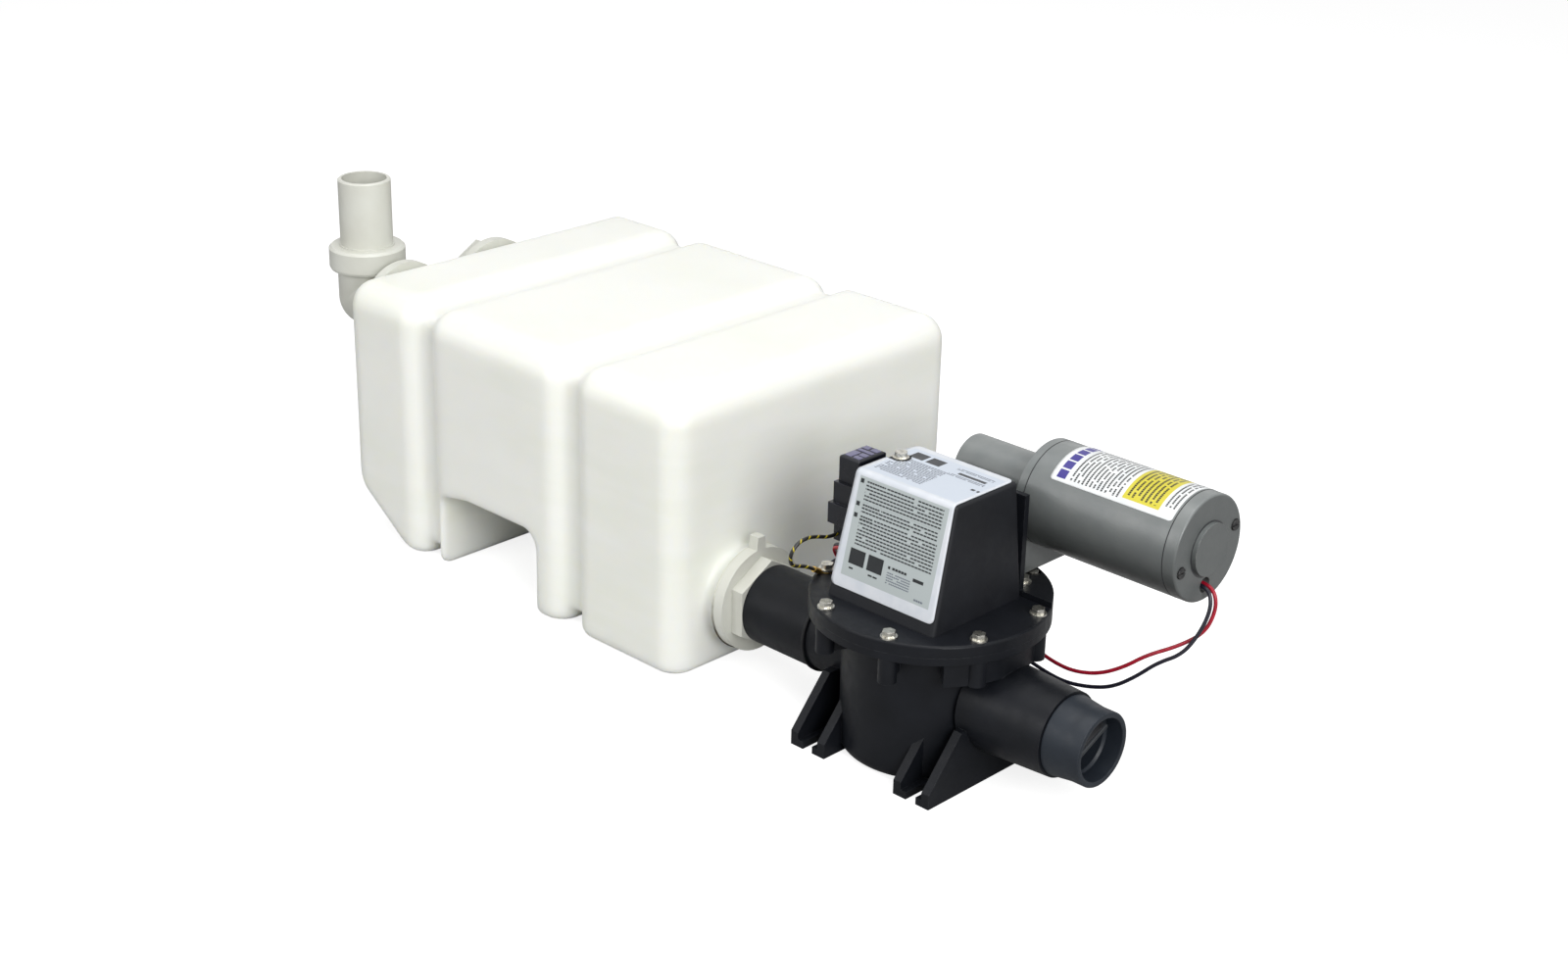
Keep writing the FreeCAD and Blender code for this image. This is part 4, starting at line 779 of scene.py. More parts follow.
@dataclass
class Studio:
    """A plain pale floor under soft lamps and an even pale surround."""

    floor_half: float = 6.0
    floor_drop: float = 0.0002
    floor_grey: float = 0.5
    floor_glow: float = 0.8
    surround: float = 0.22
    lamps: tuple[Lamp, ...] = (
        Lamp("overhead", (-0.1, -0.15, 1.9), (-0.2, 0.05, 0.1), 1.6, 22.5),
        Lamp("key", (1.95, -0.95, 1.2), (-0.1, 0.0, 0.1), 1.1, 42.0),
        Lamp("window", (-0.9, -2.0, 1.15), (-0.2, 0.0, 0.1), 1.1, 12.0),
    )

    def build(self) -> None:
        """Build the floor, the surround and the lamps."""
        self.floor()
        self.sky()
        for lamp in self.lamps:
            lamp.build()
        bpy.context.scene.view_settings.view_transform = "Standard"

    def floor(self) -> None:
        """Lay a plain white floor that keeps the object's shadow."""
        half = self.floor_half
        sides = np.array([(-half, -half), (half, -half), (half, half), (-half, half)])
        corners = np.column_stack([sides, np.full(4, -self.floor_drop)])
        piece = put_mesh("studio_floor", corners, [(0, 1, 2, 3)])
        g = Graph("studio floor")
        seen = g.add("LightPath", {}, "Is Camera Ray")
        glow = g.maths("MULTIPLY", seen, self.floor_glow)
        constants = {
            "Base Color": (self.floor_grey,) * 3,
            "Roughness": 0.95,
            "Specular IOR Level": 0.0,
            "Emission Color": (1.0, 1.0, 1.0),
        }
        piece.data.materials.append(g.finish(constants, {"Emission Strength": glow}))

    def sky(self) -> None:
        """Light evenly from all round, and show white to the camera, gloss and glass."""
        world = bpy.data.worlds.new("surround")
        world.use_nodes = True
        bpy.context.scene.world = world
        tree = world.node_tree
        path = tree.nodes.new("ShaderNodeLightPath")
        seen = path.outputs["Is Camera Ray"]
        for word in ("Is Glossy Ray", "Is Transmission Ray"):
            both = tree.nodes.new("ShaderNodeMath")
            both.operation = "MAXIMUM"
            tree.links.new(seen, both.inputs[0])
            tree.links.new(path.outputs[word], both.inputs[1])
            seen = both.outputs[0]
        level = tree.nodes.new("ShaderNodeMapRange")
        tree.links.new(seen, level.inputs[0])
        level.inputs[3].default_value = self.surround
        level.inputs[4].default_value = 1.0
        back = tree.nodes["Background"]
        back.inputs[0].default_value = (1.0, 1.0, 1.0, 1.0)
        tree.links.new(level.outputs[0], back.inputs[1])


# Leads


@dataclass(frozen=True)
class Route:
    """One lead: its real length and the points, in millimetres, that its line is drawn through."""

    node: str
    length: float
    points: tuple[Point, ...]
    slot: str


@dataclass
class Wiring:
    """The motor's two leads and the short lead to the earth terminal."""

    diameter: float = 0.0025
    routes: tuple[Route, ...] = (
        Route("lead_red", 0.391, (
            (147, 76.8, 141), (154, 76.8, 141), (160, 76.2, 136), (161.5, 75, 126), (158, 71, 112),
            (144, 65, 100), (126, 58.5, 89.5), (112, 56, 77), (95, 54, 66.5), (76, 53, 61.5),
            (57, 56, 60.5), (38, 62.5, 60.5), (18, 67, 61), (-3, 68.5, 62), (-23, 66, 64),
            (-43, 59.5, 67), (-62, 50, 71), (-77, 35, 79), (-85, 19, 90), (-85, 6, 101),
            (-82.5, -2, 112), (-73, -5.5, 116), (-63.8, -7.5, 116), (-58, -8.5, 122), (-58, -8.5, 130),
        ), "wire_red"),
        Route("lead_black", 0.399, (
            (147, 73.2, 141), (154, 73.2, 141), (159.5, 72, 136), (160.5, 70, 126), (157, 66, 112),
            (149.5, 61.5, 97.5), (134, 59, 87), (121, 56.5, 73.5), (106, 54, 61.5), (90, 52, 56),
            (72, 51, 53), (55, 53, 53), (38, 57, 53.5), (18, 61.5, 54), (-3, 63, 55),
            (-23, 60.5, 57), (-42, 54, 60), (-59, 45, 64), (-75, 35, 71), (-87, 23, 82),
            (-90, 10.5, 99), (-87.5, 4.5, 110), (-79, 0.5, 115), (-63.8, -3.9, 116), (-58, -4, 122),
            (-58, -4, 130),
        ), "wire_black"),
        Route("switch_lead", 0.079, (
            (-61.5, -21.5, 134.5), (-61.5, -29.5, 134.5), (-61.4, -39, 138), (-61.2, -49, 140.5),
            (-61.7, -58, 139), (-63, -63, 132), (-64.5, -60.5, 124), (-65.92, -53.53, 120.49),
            (-66.72, -43.88, 117.11), (-66.72, -37.03, 112.99),
        ), "wire_black"),
    )
    finishes: dict = field(default_factory=lambda: {
        "lead_red": Insulation("red wire", paint(178, 22, 48)),
        "lead_black": Insulation("black wire", paint(28, 28, 42)),
        "switch_lead": Insulation("striped wire", paint(24, 24, 24), paint(196, 178, 40), 10.0),
    })

    def build(self) -> None:
        """Draw every lead as one smooth spline with a round section."""
        for route in self.routes:
            self.lead(route)
            LOG.info("lead %s, %.0f mm", route.node, route.length / MM)

    def lead(self, route: Route) -> None:
        """Draw one lead and let it stand for its node.

        Args:
            route: the lead's way and its length.
        """
        curve = bpy.data.curves.new(route.node + "_wire", "CURVE")
        curve.dimensions = "3D"
        curve.bevel_depth = self.diameter / 2
        curve.bevel_resolution = 5
        curve.use_fill_caps = True
        spline = curve.splines.new("NURBS")
        spline.points.add(len(route.points) - 1)
        for point, place in zip(spline.points, route.points):
            point.co = (*(c * MM for c in place), 1.0)
        spline.order_u = 3
        spline.use_endpoint_u = True
        spline.resolution_u = 10
        piece = bpy.data.objects.new(route.node + "_wire", curve)
        bpy.context.scene.collection.objects.link(piece)
        dress(piece, self.finishes[route.node].material())
        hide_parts(route.node)


# Vacuum tank


@dataclass
class Tank:
    """The blow-moulded tank: three rounded lobes joined by a core, a neck, a tunnel and a toe."""

    near: float = -0.171
    length: float = 0.357
    left: float = -0.0595
    width: float = 0.276
    height: float = 0.200
    corner_round: float = 0.018
    roof_round: float = 0.021
    foot_round: float = 0.008
    grooves: tuple[float, float] = (0.110, 0.268)
    groove_wide: float = 0.011
    groove_deep: float = 0.009
    tunnel: tuple[float, float, float] = (0.150, 0.253, 0.057)
    core_round: float = 0.009
    tunnel_round: float = 0.009
    flare: float = 0.006
    flare_run: float = 0.03
    flare_reach: float = 0.010
    toe: tuple[float, float] = (0.054, 0.034)
    toe_lean: float = 0.92
    toe_rise: float = 0.004
    toe_blend: float = 0.012
    neck: tuple[float, float, float] = (0.014, 0.031, 0.051)
    neck_blend: float = 0.009
    blend: float = 0.005
    panel: float = 0.119
    panel_sink: float = 0.0008
    roof_from: float = 0.8
    voxel: float = 0.0030
    finish: Milk = Milk("milky tank", paint(243, 244, 238), paint(238, 240, 230))

    def rounded_box(self, at: np.ndarray, low: np.ndarray, high: np.ndarray, radius: float) -> np.ndarray:
        """Distance to a box with rounded edges: the length of the part outside the inner box,
        plus the largest negative part inside it, less the radius.

        Args:
            at: places, one row each.
            low: the box's lowest corner.
            high: its highest corner.
            radius: how round its edges are.

        Returns:
            One distance per place, negative inside.
        """
        middle, half = (low + high) / 2, (high - low) / 2 - radius
        away = np.abs(at - middle) - half
        outside = np.linalg.norm(np.maximum(away, 0), axis=1)
        return outside + np.minimum(away.max(axis=1), 0) - radius

    def lobe(self, at: np.ndarray, low: np.ndarray, high: np.ndarray) -> np.ndarray:
        """Distance to one lobe: its plan is a rectangle with round corners, and that distance and
        the height are rounded together, with one radius at the roof and a smaller one at the foot.

        Args:
            at: places, one row each.
            low: the lobe's lowest corner.
            high: its highest corner.

        Returns:
            One distance per place, negative inside.
        """
        middle, half = (low + high) / 2, (high - low) / 2
        away = np.abs(at[:, :2] - middle[:2]) - half[:2] + self.corner_round
        plan = np.linalg.norm(np.maximum(away, 0), axis=1) + np.minimum(away.max(axis=1), 0)
        plan = plan - self.corner_round
        soft = np.where(at[:, 2] > middle[2], self.roof_round, self.foot_round)
        pair = np.stack([plan, np.abs(at[:, 2] - middle[2]) - half[2]], 1) + soft[:, None]
        return np.linalg.norm(np.maximum(pair, 0), axis=1) + np.minimum(pair.max(axis=1), 0) - soft

    def smooth_least(self, first: np.ndarray, second: np.ndarray, soft: float) -> np.ndarray:
        """The smaller of two distances, with the crease between them filled softly.

        Args:
            first: one distance per place.
            second: the other one.
            soft: how wide the fill is.

        Returns:
            One distance per place.
        """
        share = np.clip(0.5 + 0.5 * (second - first) / soft, 0, 1)
        return second * (1 - share) + first * share - soft * share * (1 - share)

    def form(self, at: np.ndarray) -> np.ndarray:
        """Distance to the tank's skin: lobes and core joined softly and dished, then the tunnel
        cut, the neck joined and the toe cut off.

        Args:
            at: places, one row each.

        Returns:
            One distance per place, negative inside.
        """
        low = np.array([self.near - self.length, self.left, 0.0])
        high = np.array([self.near, self.left + self.width, self.height])
        first, last = self.near - self.grooves[0], self.near - self.grooves[1]
        half = self.groove_wide / 2
        spans = ((first + half, high[0]), (last + half, first - half), (low[0], last - half))
        skin = None
        for start, end in spans:
            lobe = self.lobe(at, np.array([start, *low[1:]]), np.array([end, *high[1:]]))
            skin = lobe if skin is None else self.smooth_least(skin, lobe, self.blend)
        inset = np.array([self.toe[0], self.groove_deep, self.groove_deep])
        core = self.rounded_box(at, low + inset, high - inset, self.core_round)
        skin = self.smooth_least(skin, core, self.blend) + self.dish(at)
        start, end, top = self.near - self.tunnel[1], self.near - self.tunnel[0], self.tunnel[2]
        open_end = 1.0
        floor, ceiling = np.array([start, -open_end, -open_end]), np.array([end, open_end, top])
        passage = self.rounded_box(at, floor, ceiling, self.tunnel_round)
        mouth = np.minimum(at[:, 1] - low[1], high[1] - at[:, 1]).clip(0, None)
        side = np.clip((at[:, 0] - start) / self.flare_run, 0, 1)
        flare = self.flare * side * np.exp(-((mouth / self.flare_reach) ** 2))
        skin = -self.smooth_least(-skin, passage - flare, self.blend)
        reach, radius, rise = self.neck
        ring = np.hypot(at[:, 1], at[:, 2] - rise) - radius
        neck = np.maximum(ring, np.abs(at[:, 0] - self.near) - reach)
        skin = self.smooth_least(skin, neck, self.neck_blend)
        slope = np.array([-self.toe[1], 0, -self.toe[0] * self.toe_lean])
        slope = slope / np.linalg.norm(slope)
        foot = np.array([low[0] + self.toe[0], 0.0, 0.0])
        wedge = -((at - foot) @ slope) - self.toe_rise
        return -self.smooth_least(-skin, wedge, self.toe_blend)

    def dish(self, at: np.ndarray) -> np.ndarray:
        """How far the large panels sink: a shallow bowl on each long side and on the roof.

        Args:
            at: places, one row each.

        Returns:
            One depth per place.
        """
        lobe = np.mod((self.near - at[:, 0]) / self.panel, 1.0)
        along = np.clip(np.sin(lobe * math.pi), 0, 1) ** 0.5
        across = np.clip(1 - ((at[:, 1] - self.left) / self.width * 2 - 1) ** 2, 0, 1)
        rise = np.clip(1 - (at[:, 2] / self.height * 2 - 1) ** 2, 0, 1)
        roof = at[:, 2] > self.height * self.roof_from
        return self.panel_sink * along * np.maximum(across * roof, rise)

    def build(self) -> None:
        """Net the tank's form, then draw every point onto the skin."""
        points, faces = self.net()
        piece = put_mesh("tank_skin", self.drawn_on(points), faces)
        piece.data.shade_smooth()
        dress(piece, self.finish.material())
        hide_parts("tank_shell")
        LOG.info("tank skin with %d faces", len(faces))

    def drawn_on(self, points: np.ndarray) -> np.ndarray:
        """Step each point down the slope of the distance until it lies on the skin.

        Args:
            points: points near the skin.

        Returns:
            The same points on the skin.
        """
        small, rounds, least_slope, longest = 1e-5, 3, 0.3, 0.001
        for _ in range(rounds):
            distance = self.form(points)
            sides = np.eye(3) * small
            slope = np.stack([self.form(points + side) - self.form(points - side) for side in sides], 1)
            slope = slope / (2 * small)
            scale = np.maximum((slope ** 2).sum(1), least_slope)
            step = np.clip(distance / scale, -longest, longest)
            points = points - slope * step[:, None]
        return points

    def net(self) -> tuple[np.ndarray, np.ndarray]:
        """Sample the distance on an even lattice and stretch a net over its zero level. Each cell
        that the skin passes gets one point, the mean of where the skin cuts the cell's edges, and
        each cut edge gets one face between the four cells round it.

        Returns:
            The points, and the four point numbers of each face.
        """
        step, cells_round = self.voxel, 2.3
        low = np.array([self.near - self.length, self.left, 0.0]) - step * cells_round
        high = np.array([self.near + self.neck[0], self.left + self.width, self.height])
        high = high + step * cells_round
        counts = np.ceil((high - low) / step).astype(int)
        axes = [low[k] + step * np.arange(counts[k]) for k in range(3)]
        lattice = np.stack(np.meshgrid(*axes, indexing="ij"), -1)
        level = self.form(lattice.reshape(-1, 3)).reshape(counts)
        total, cuts = np.zeros((*(counts - 1), 3)), np.zeros(counts - 1)
        edges = []
        for axis in range(3):
            start = np.take(level, range(counts[axis] - 1), axis)
            end = np.take(level, range(1, counts[axis]), axis)
            cut = (start < 0) != (end < 0)
            share = np.where(cut, start / np.where(cut, start - end, 1), 0)
            corner = np.take(lattice, range(counts[axis] - 1), axis)
            place = corner + share[..., None] * step * np.eye(3)[axis]
            others = [k for k in range(3) if k != axis]
            for first in (0, 1):
                for second in (0, 1):
                    part = [slice(None)] * 3
                    part[others[0]] = slice(first, counts[others[0]] - 1 + first)
                    part[others[1]] = slice(second, counts[others[1]] - 1 + second)
                    seen = cut[tuple(part)]
                    total += place[tuple(part)] * seen[..., None]
                    cuts += seen
            edges.append((axis, others, cut, start < 0))
        used = cuts > 0
        number = np.cumsum(used).reshape(used.shape) - 1
        points = total[used] / cuts[used][:, None]
        faces = []
        for axis, others, cut, inward in edges:
            where = np.argwhere(cut)
            ring = []
            for first, second in ((0, 0), (1, 0), (1, 1), (0, 1)):
                cell = where.copy()
                cell[:, others[0]] -= first
                cell[:, others[1]] -= second
                ring.append(number[cell[:, 0], cell[:, 1], cell[:, 2]])
            quads = np.stack(ring, 1)
            turned_over = inward[cut] == (axis == 1)
            quads[turned_over] = quads[turned_over][:, ::-1]
            faces.append(quads)
        return points, np.concatenate(faces)


# Moulded and turned rings


@dataclass(frozen=True)
class ShadedWasher:
    """A pale washer painted darker towards the bottom: painted shade under the ring nut."""

    name: str
    washer_colour: Colour
    painted_shade: Colour
    low: float
    high: float
    ragged: float = 0.004

    def material(self) -> bpy.types.Material:
        """Build the nodes: painted shade below one height, the washer's own colour above another, and a
        ragged border.

        Returns:
            The material.
        """
        g = Graph(self.name)
        height = g.add("SeparateXYZ", {0: g.place()}, 2)
        ragged = g.maths("ADD", height, g.spread(g.noise(0.004, 3.0), -self.ragged, self.ragged))
        # painted shade: the colour darkens below one height, standing in for the shade under the nut
        tint = g.blend(g.remap(ragged, self.low, self.high), self.painted_shade, self.washer_colour)
        rough = g.spread(g.noise(0.003, 3.0), 0.45, 0.62)
        relief = g.bump(g.noise(0.0015, 2.0), 0.00003)
        links = {"Base Color": tint, "Roughness": rough, "Normal": relief}
        return g.finish({"Specular IOR Level": 0.4}, links)


@dataclass(frozen=True)
class Ring:
    """One turned ring: its name, its section, where it sits and its finish."""

    name: str
    section: tuple
    at: Point
    finish: Moulding | Enamel | ShadedWasher


@dataclass
class Rings:
    """The washer behind the pump's ring nut, painted darker towards the bottom as painted shade under the
    nut, the pipe's stop ring, the motor's seam lines and a dark ring round the motor cap's boss that stands
    in for the shadow at its foot (painted shadow)."""

    motor: Point = (0.0, 0.075, 0.165)
    port: Point = (0.0, 0.0, 0.051)
    # pale washer whose lower part is painted shade under the ring nut
    washer: ShadedWasher = ShadedWasher("port washer", paint(206, 206, 194), paint(70, 64, 54), 0.034, 0.066)
    gap: Moulding = Moulding("seam", paint(26, 27, 29), paint(34, 35, 37), 0.7, wear_share=0.05)
    # dark enamel for the ring round the cap's boss: painted shadow
    shade: Enamel = Enamel(
        "cap boss shadow", paint(58, 61, 63), paint(66, 69, 71), paint(120, 120, 118))
    black: Moulding = Moulding(
        "pipe ring", paint(20, 21, 24), paint(14, 15, 18), 0.5, wear_share=0.2, shine=0.25)

    def build(self) -> None:
        """Turn each ring round its axis."""
        washer = (
            (-158.5, 31.2), (-158.5, 36.9), (-158.3, 37.3), (-157.3, 37.3), (-157.05, 37.0),
            (-157.05, 31.2),
        )
        seam = ((-0.35, 34.2), (-0.35, 34.56), (0.35, 34.56), (0.35, 34.2))
        # section of the dark ring at the foot of the cap's boss, a painted shadow barely proud of the cap
        step = ((-0.3, 16.8), (-0.3, 18.5), (0.08, 18.4), (0.14, 17.6), (0.14, 16.8))
        stop = (
            (-84.5, 27.2), (-84.5, 28.2), (-84.0, 28.6), (-82.6, 28.6), (-82.1, 28.2),
            (-82.1, 27.2),
        )
        rings = (
            Ring("port_washer", washer, (0.0, -0.0002, self.port[2] - 0.0005), self.washer),
            Ring("pipe_stop", stop, self.port, self.black),
            Ring("seam_front", seam, (0.036, *self.motor[1:]), self.gap),
            Ring("seam_rear", seam, (0.143, *self.motor[1:]), self.gap),
            Ring("cap_boss_shadow", step, (0.152, *self.motor[1:]), self.shade),
        )
        for ring in rings:
            piece = turned(ring.name, ring.section, ring.at, Axis.X)
            dress(piece, ring.finish.material())
            LOG.info("ring %s", ring.name)


# Outlet


@dataclass
class Outlet:
    """The outlet nozzle with its thin rim, and the flat lips of the valve just inside it. The
    lengths are in millimetres, apart from the height of the axis."""

    axis_z: float = 0.051
    root: tuple[float, float] = (113.05, 26.3)
    tip: tuple[float, float] = (140.0, 24.5)
    bore: float = 20.6
    throat: float = 18.7
    back: tuple[float, float] = (91.0, 22.9)
    lips: tuple[float, float, float] = (36.0, 3.0, 131.3)
    lips_deep: float = 9.0
    slit: tuple[float, float] = (34.0, 0.5)
    slit_deep: float = 0.4
    slit_proud: float = 0.08
    tilt: float = 25.0
    plastic: Moulding = Moulding(
        "outlet nozzle", paint(36, 42, 50), paint(29, 34, 41), 0.46,
        wear=paint(96, 100, 106), wear_share=0.7, shine=0.28)
    rubber: Moulding = Moulding(
        "valve lips", paint(56, 60, 64), paint(48, 51, 55), 0.55, grain_deep=0.00001)
    gap: Moulding = Moulding(
        "valve slit", paint(14, 15, 17), paint(18, 19, 21), 0.7, wear_share=0.05)

    def build(self) -> None:
        """Turn the nozzle round its axis and set the valve's lips across its bore."""
        start, root = self.root
        end, tip = self.tip
        shoulder = (
            (start, self.back[1]), (start, root - 0.5), (start + 0.5, root), (start + 1.2, root + 0.1),
        )
        spigot = ((end - 14, tip + 0.35), (end - 12, tip + 0.1), (end - 10, tip), (end - 1.0, tip))
        rim = (
            (end - 0.3, tip - 0.3), (end, tip - 0.9), (end, self.bore + 0.6),
            (end - 0.2, self.bore + 0.15), (end - 0.8, self.bore),
        )
        inside = (
            (end - 12, self.bore - 0.5), (end - 13.5, self.throat), (self.back[0], self.throat),
            self.back,
        )
        section = shoulder + spigot + rim + inside
        nozzle = turned("outlet_tip", section, (0.0, 0.0, self.axis_z), Axis.X)
        dress(nozzle, self.plastic.material())
        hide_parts("outlet_nozzle")
        wide, thick, reach = self.lips
        self.bar("valve_lips", (wide, thick), (reach - self.lips_deep, reach), self.rubber)
        ends = (reach - self.slit_deep, reach + self.slit_proud)
        self.bar("valve_slit", self.slit, ends, self.gap)
        LOG.info("outlet nozzle and valve lips")

    def bar(self, name: str, size: tuple, ends: tuple, finish: Moulding) -> None:
        """Stand a rounded bar across the bore: its width lies along the valve's tilt.

        Args:
            name: the piece's name.
            size: its width and its thickness.
            ends: where it starts and ends along the bore.
            finish: its finish.
        """
        wide, thick = (length / 2 * MM for length in size)
        start, end = (station * MM for station in ends)
        piece = pillow(name, (-wide, -thick, start), (wide, thick, end), thick * 0.9, thick * 0.4)
        turn = math.radians(self.tilt)
        place = Matrix((
            (0, 0, 1, 0),
            (math.cos(turn), -math.sin(turn), 0, 0),
            (math.sin(turn), math.cos(turn), 0, self.axis_z),
            (0, 0, 0, 1),
        ))
        piece.data.transform(place)
        dress(piece, finish.material())


# Bellows


@dataclass
class Bellows:
    """The rubber bellows: its bead stays under the plate and its floor, with a small eye, closes the low end.
    The lengths are in millimetres."""

    top: float = 100.0
    bead: tuple[float, float] = (62.0, 2.5)
    low: float = 80.0
    waist: float = 37.0
    crown: float = 46.0
    wall: float = 3.0
    folds: int = 2
    rows_per_fold: int = 24
    eye: float = 4.0
    still: float = 1.0
    finish: Moulding = Moulding(
        "bellows rubber", paint(38, 39, 42), paint(48, 49, 52), 0.58, grain_deep=0.00001)

    def build(self) -> None:
        """Turn the section: the wall's radius goes in and out as a cosine of the way down."""
        start = self.top - self.bead[1]
        way = np.linspace(0, 1, self.rows_per_fold * self.folds + 1)
        swing = (self.crown - self.waist) / 2
        radius = self.waist + swing * (1 - np.cos(2 * math.pi * self.folds * way))
        outside = np.column_stack([start + (self.low - start) * way, radius])
        inside = outside[::-1] - np.array([0.0, self.wall])
        floor = self.low - self.wall
        section = np.concatenate([
            [(self.top, self.bead[0]), (start, self.bead[0])], outside,
            [(floor, self.waist - 0.6), (floor, self.eye), (self.low, self.eye)], inside,
            [(self.top, self.waist - self.wall)],
        ])
        piece = turned("bellows_rubber", section, (0.0, 0.0, 0.0), Axis.Z)
        piece.data.materials.append(self.finish.material())
        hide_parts("bellows")
        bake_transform(piece)
        LOG.info("bellows of %d folds", self.folds)


# Labels


INK = paint(14, 15, 20)
FAINT = paint(104, 110, 122)
PURPLE = paint(46, 34, 132)
YELLOW = paint(208, 196, 40)


def body_rules(left: float, top: float, right: float, bottom: float) -> Rules:
    """Give rules as close as the front panel's body rows, between four edges in millimetres."""
    return Rules(left, top, right, bottom, INK, 2.2, 0.46, 2.8, 0.05)


def head_rules(left: float, top: float, right: float, bottom: float) -> Rules:
    """Give one heavier rule as at the head of a paragraph, between four edges in millimetres."""
    return Rules(left, top, right, bottom, INK, 1.9, 0.6, 2.0, 0.06)


@dataclass
class CoverLabel:
    """The white plate folded over the drive cover's top and front, with plain rules on it."""

    half_low: float = 0.044
    half_top: float = 0.041
    front_low: float = -0.049
    front_top: float = -0.029
    low: float = 0.108
    top: float = 0.188
    fold: float = 0.003
    lift: float = 0.0006
    margin: float = 0.0014
    rear: float = 0.0268
    foot: float = 0.1155
    row: float = 0.0004
    bend_rows: int = 12
    columns: int = 40
    corner: float = 0.004
    notch: tuple[float, float, float] = (-0.033, 0.004, 0.0068)
    finish: Print = Print("cover label", paint(217, 220, 225), paint(206, 211, 218), (
        Block(-35.5, 2.5, 36.5, 66.5, paint(176, 184, 184)),
        Block(-36.5, -51.0, 37.5, -3.5, paint(199, 207, 218)),
        *[Block(-34.6, top, -31.8, top + 2.8, INK) for top in (4.0, 18.6, 26.0)],
        Rules(-29.5, 4.5, -14.0, 6.5, INK, 2.0, 0.55, 2.0, 0.06),
        body_rules(-29.5, 6.9, 33.0, 18.0),
        body_rules(-13.0, 4.5, 33.0, 6.6),
        head_rules(-29.5, 19.2, -15.0, 21.2),
        body_rules(-14.0, 19.2, 32.0, 25.6),
        body_rules(-29.5, 21.4, -14.0, 25.6),
        head_rules(-29.5, 26.6, -19.0, 28.8),
        body_rules(-18.0, 26.6, 33.0, 45.4),
        body_rules(-29.5, 28.8, -18.0, 45.4),
        Block(-31.5, 48.0, -19.0, 58.0, INK),
        Block(-16.5, 48.0, -4.0, 58.0, INK),
        Rules(-31.5, 60.2, -4.0, 61.6, INK, 1.4, 0.8, 4.0, 0.3),
        Block(0.0, 50.2, 1.8, 52.0, INK),
        Rules(3.0, 50.2, 15.0, 52.0, INK, 1.8, 0.9, 2.4, 0.0),
        Block(20.5, 51.5, 29.0, 53.6, INK),
        Rules(0.0, 54.0, 19.0, 62.0, FAINT, 1.6, 0.5, 1.5, 0.12),
        Rules(24.0, 63.5, 31.5, 64.9, FAINT, 1.4, 0.9, 1.8, 0.1),
        Block(-31.0, -47.5, -20.0, -38.5, INK),
        Block(-17.5, -47.5, -6.5, -38.5, INK),
        Rules(4.0, -46.5, 33.0, -43.0, FAINT, 1.7, 0.62, 1.4, 0.1),
        Block(9.0, -41.0, 31.0, -38.2, INK),
        Rules(4.0, -36.5, 33.0, -33.2, FAINT, 1.7, 0.62, 1.4, 0.1),
        Rules(-34.0, -35.0, 4.0, -9.0, FAINT, 1.9, 0.6, 2.4, 0.08),
        Block(30.5, -27.0, 33.5, -24.6, INK),
        Block(35.0, -27.0, 37.0, -24.6, INK),
    ))

    def line(self) -> np.ndarray:
        """Work out the label's path from the cover's rear edge over the fold and down the front.

        Returns:
            For each row its distance from the fold, its y and its z.
        """
        run, drop = self.front_low - self.front_top, self.low - self.top
        size = math.hypot(run, drop)
        outward = np.array([drop, -run]) / size
        down = np.array([run, drop]) / size
        depth = self.top - self.fold
        reach = self.front_top + (-self.fold + self.fold * outward[1]) / outward[0]
        centre = np.array([reach, depth])
        radius = self.fold + self.lift
        end = math.atan2(outward[1], outward[0])
        arc = np.linspace(math.pi / 2, end, self.bend_rows)
        bend = centre + radius * np.stack([np.cos(arc), np.sin(arc)], 1)
        last_gap = 0.0003
        flat = np.arange(self.rear, reach + last_gap, -self.row)
        roof = np.stack([flat, np.full_like(flat, bend[0, 1])], 1)
        steps = np.arange(self.row, (bend[-1, 1] - self.foot) / -down[1], self.row)
        front = bend[-1] + steps[:, None] * down
        rows = np.concatenate([roof, bend, front])
        lengths = np.linalg.norm(np.diff(rows, axis=0), axis=1)
        travelled = np.concatenate([[0], np.cumsum(lengths)])
        fold_row = len(roof) + self.bend_rows // 2
        return np.column_stack([travelled - travelled[fold_row], rows])

    def build(self) -> None:
        """Spread each row of the path between the label's two side edges, with round corners
        and a round notch for the cover's screw."""
        rows = self.line()
        way, y, z = rows.T
        drop = np.clip((self.top - z) / (self.top - self.low), 0, 1)
        half = self.half_top + (self.half_low - self.half_top) * drop
        end = np.minimum(way - way[0], way[-1] - way)
        short = np.clip(self.corner - end, 0, self.corner)
        half = half - self.margin - (self.corner - np.sqrt(self.corner ** 2 - short ** 2))
        left, right = -half, half
        side, reach, radius = self.notch
        near = np.clip(radius ** 2 - (y - reach) ** 2, 0, None)
        on_top = (near > 0) & (way < 0)
        left = np.where(on_top, np.maximum(left, side + np.sqrt(near)), left)
        share = np.linspace(0, 1, self.columns)
        x = left[:, None] + (right - left)[:, None] * share
        way, y, z = (np.broadcast_to(part[:, None], x.shape) for part in (way, y, z))
        faces = grid_faces(*x.shape, False, False)[:, ::-1]
        piece = film("cover_label", np.stack([x, y, z], -1), faces, np.stack([x, way], -1), self.lift)
        dress(piece, self.finish.material())
        LOG.info("cover label of %d rows", len(rows))


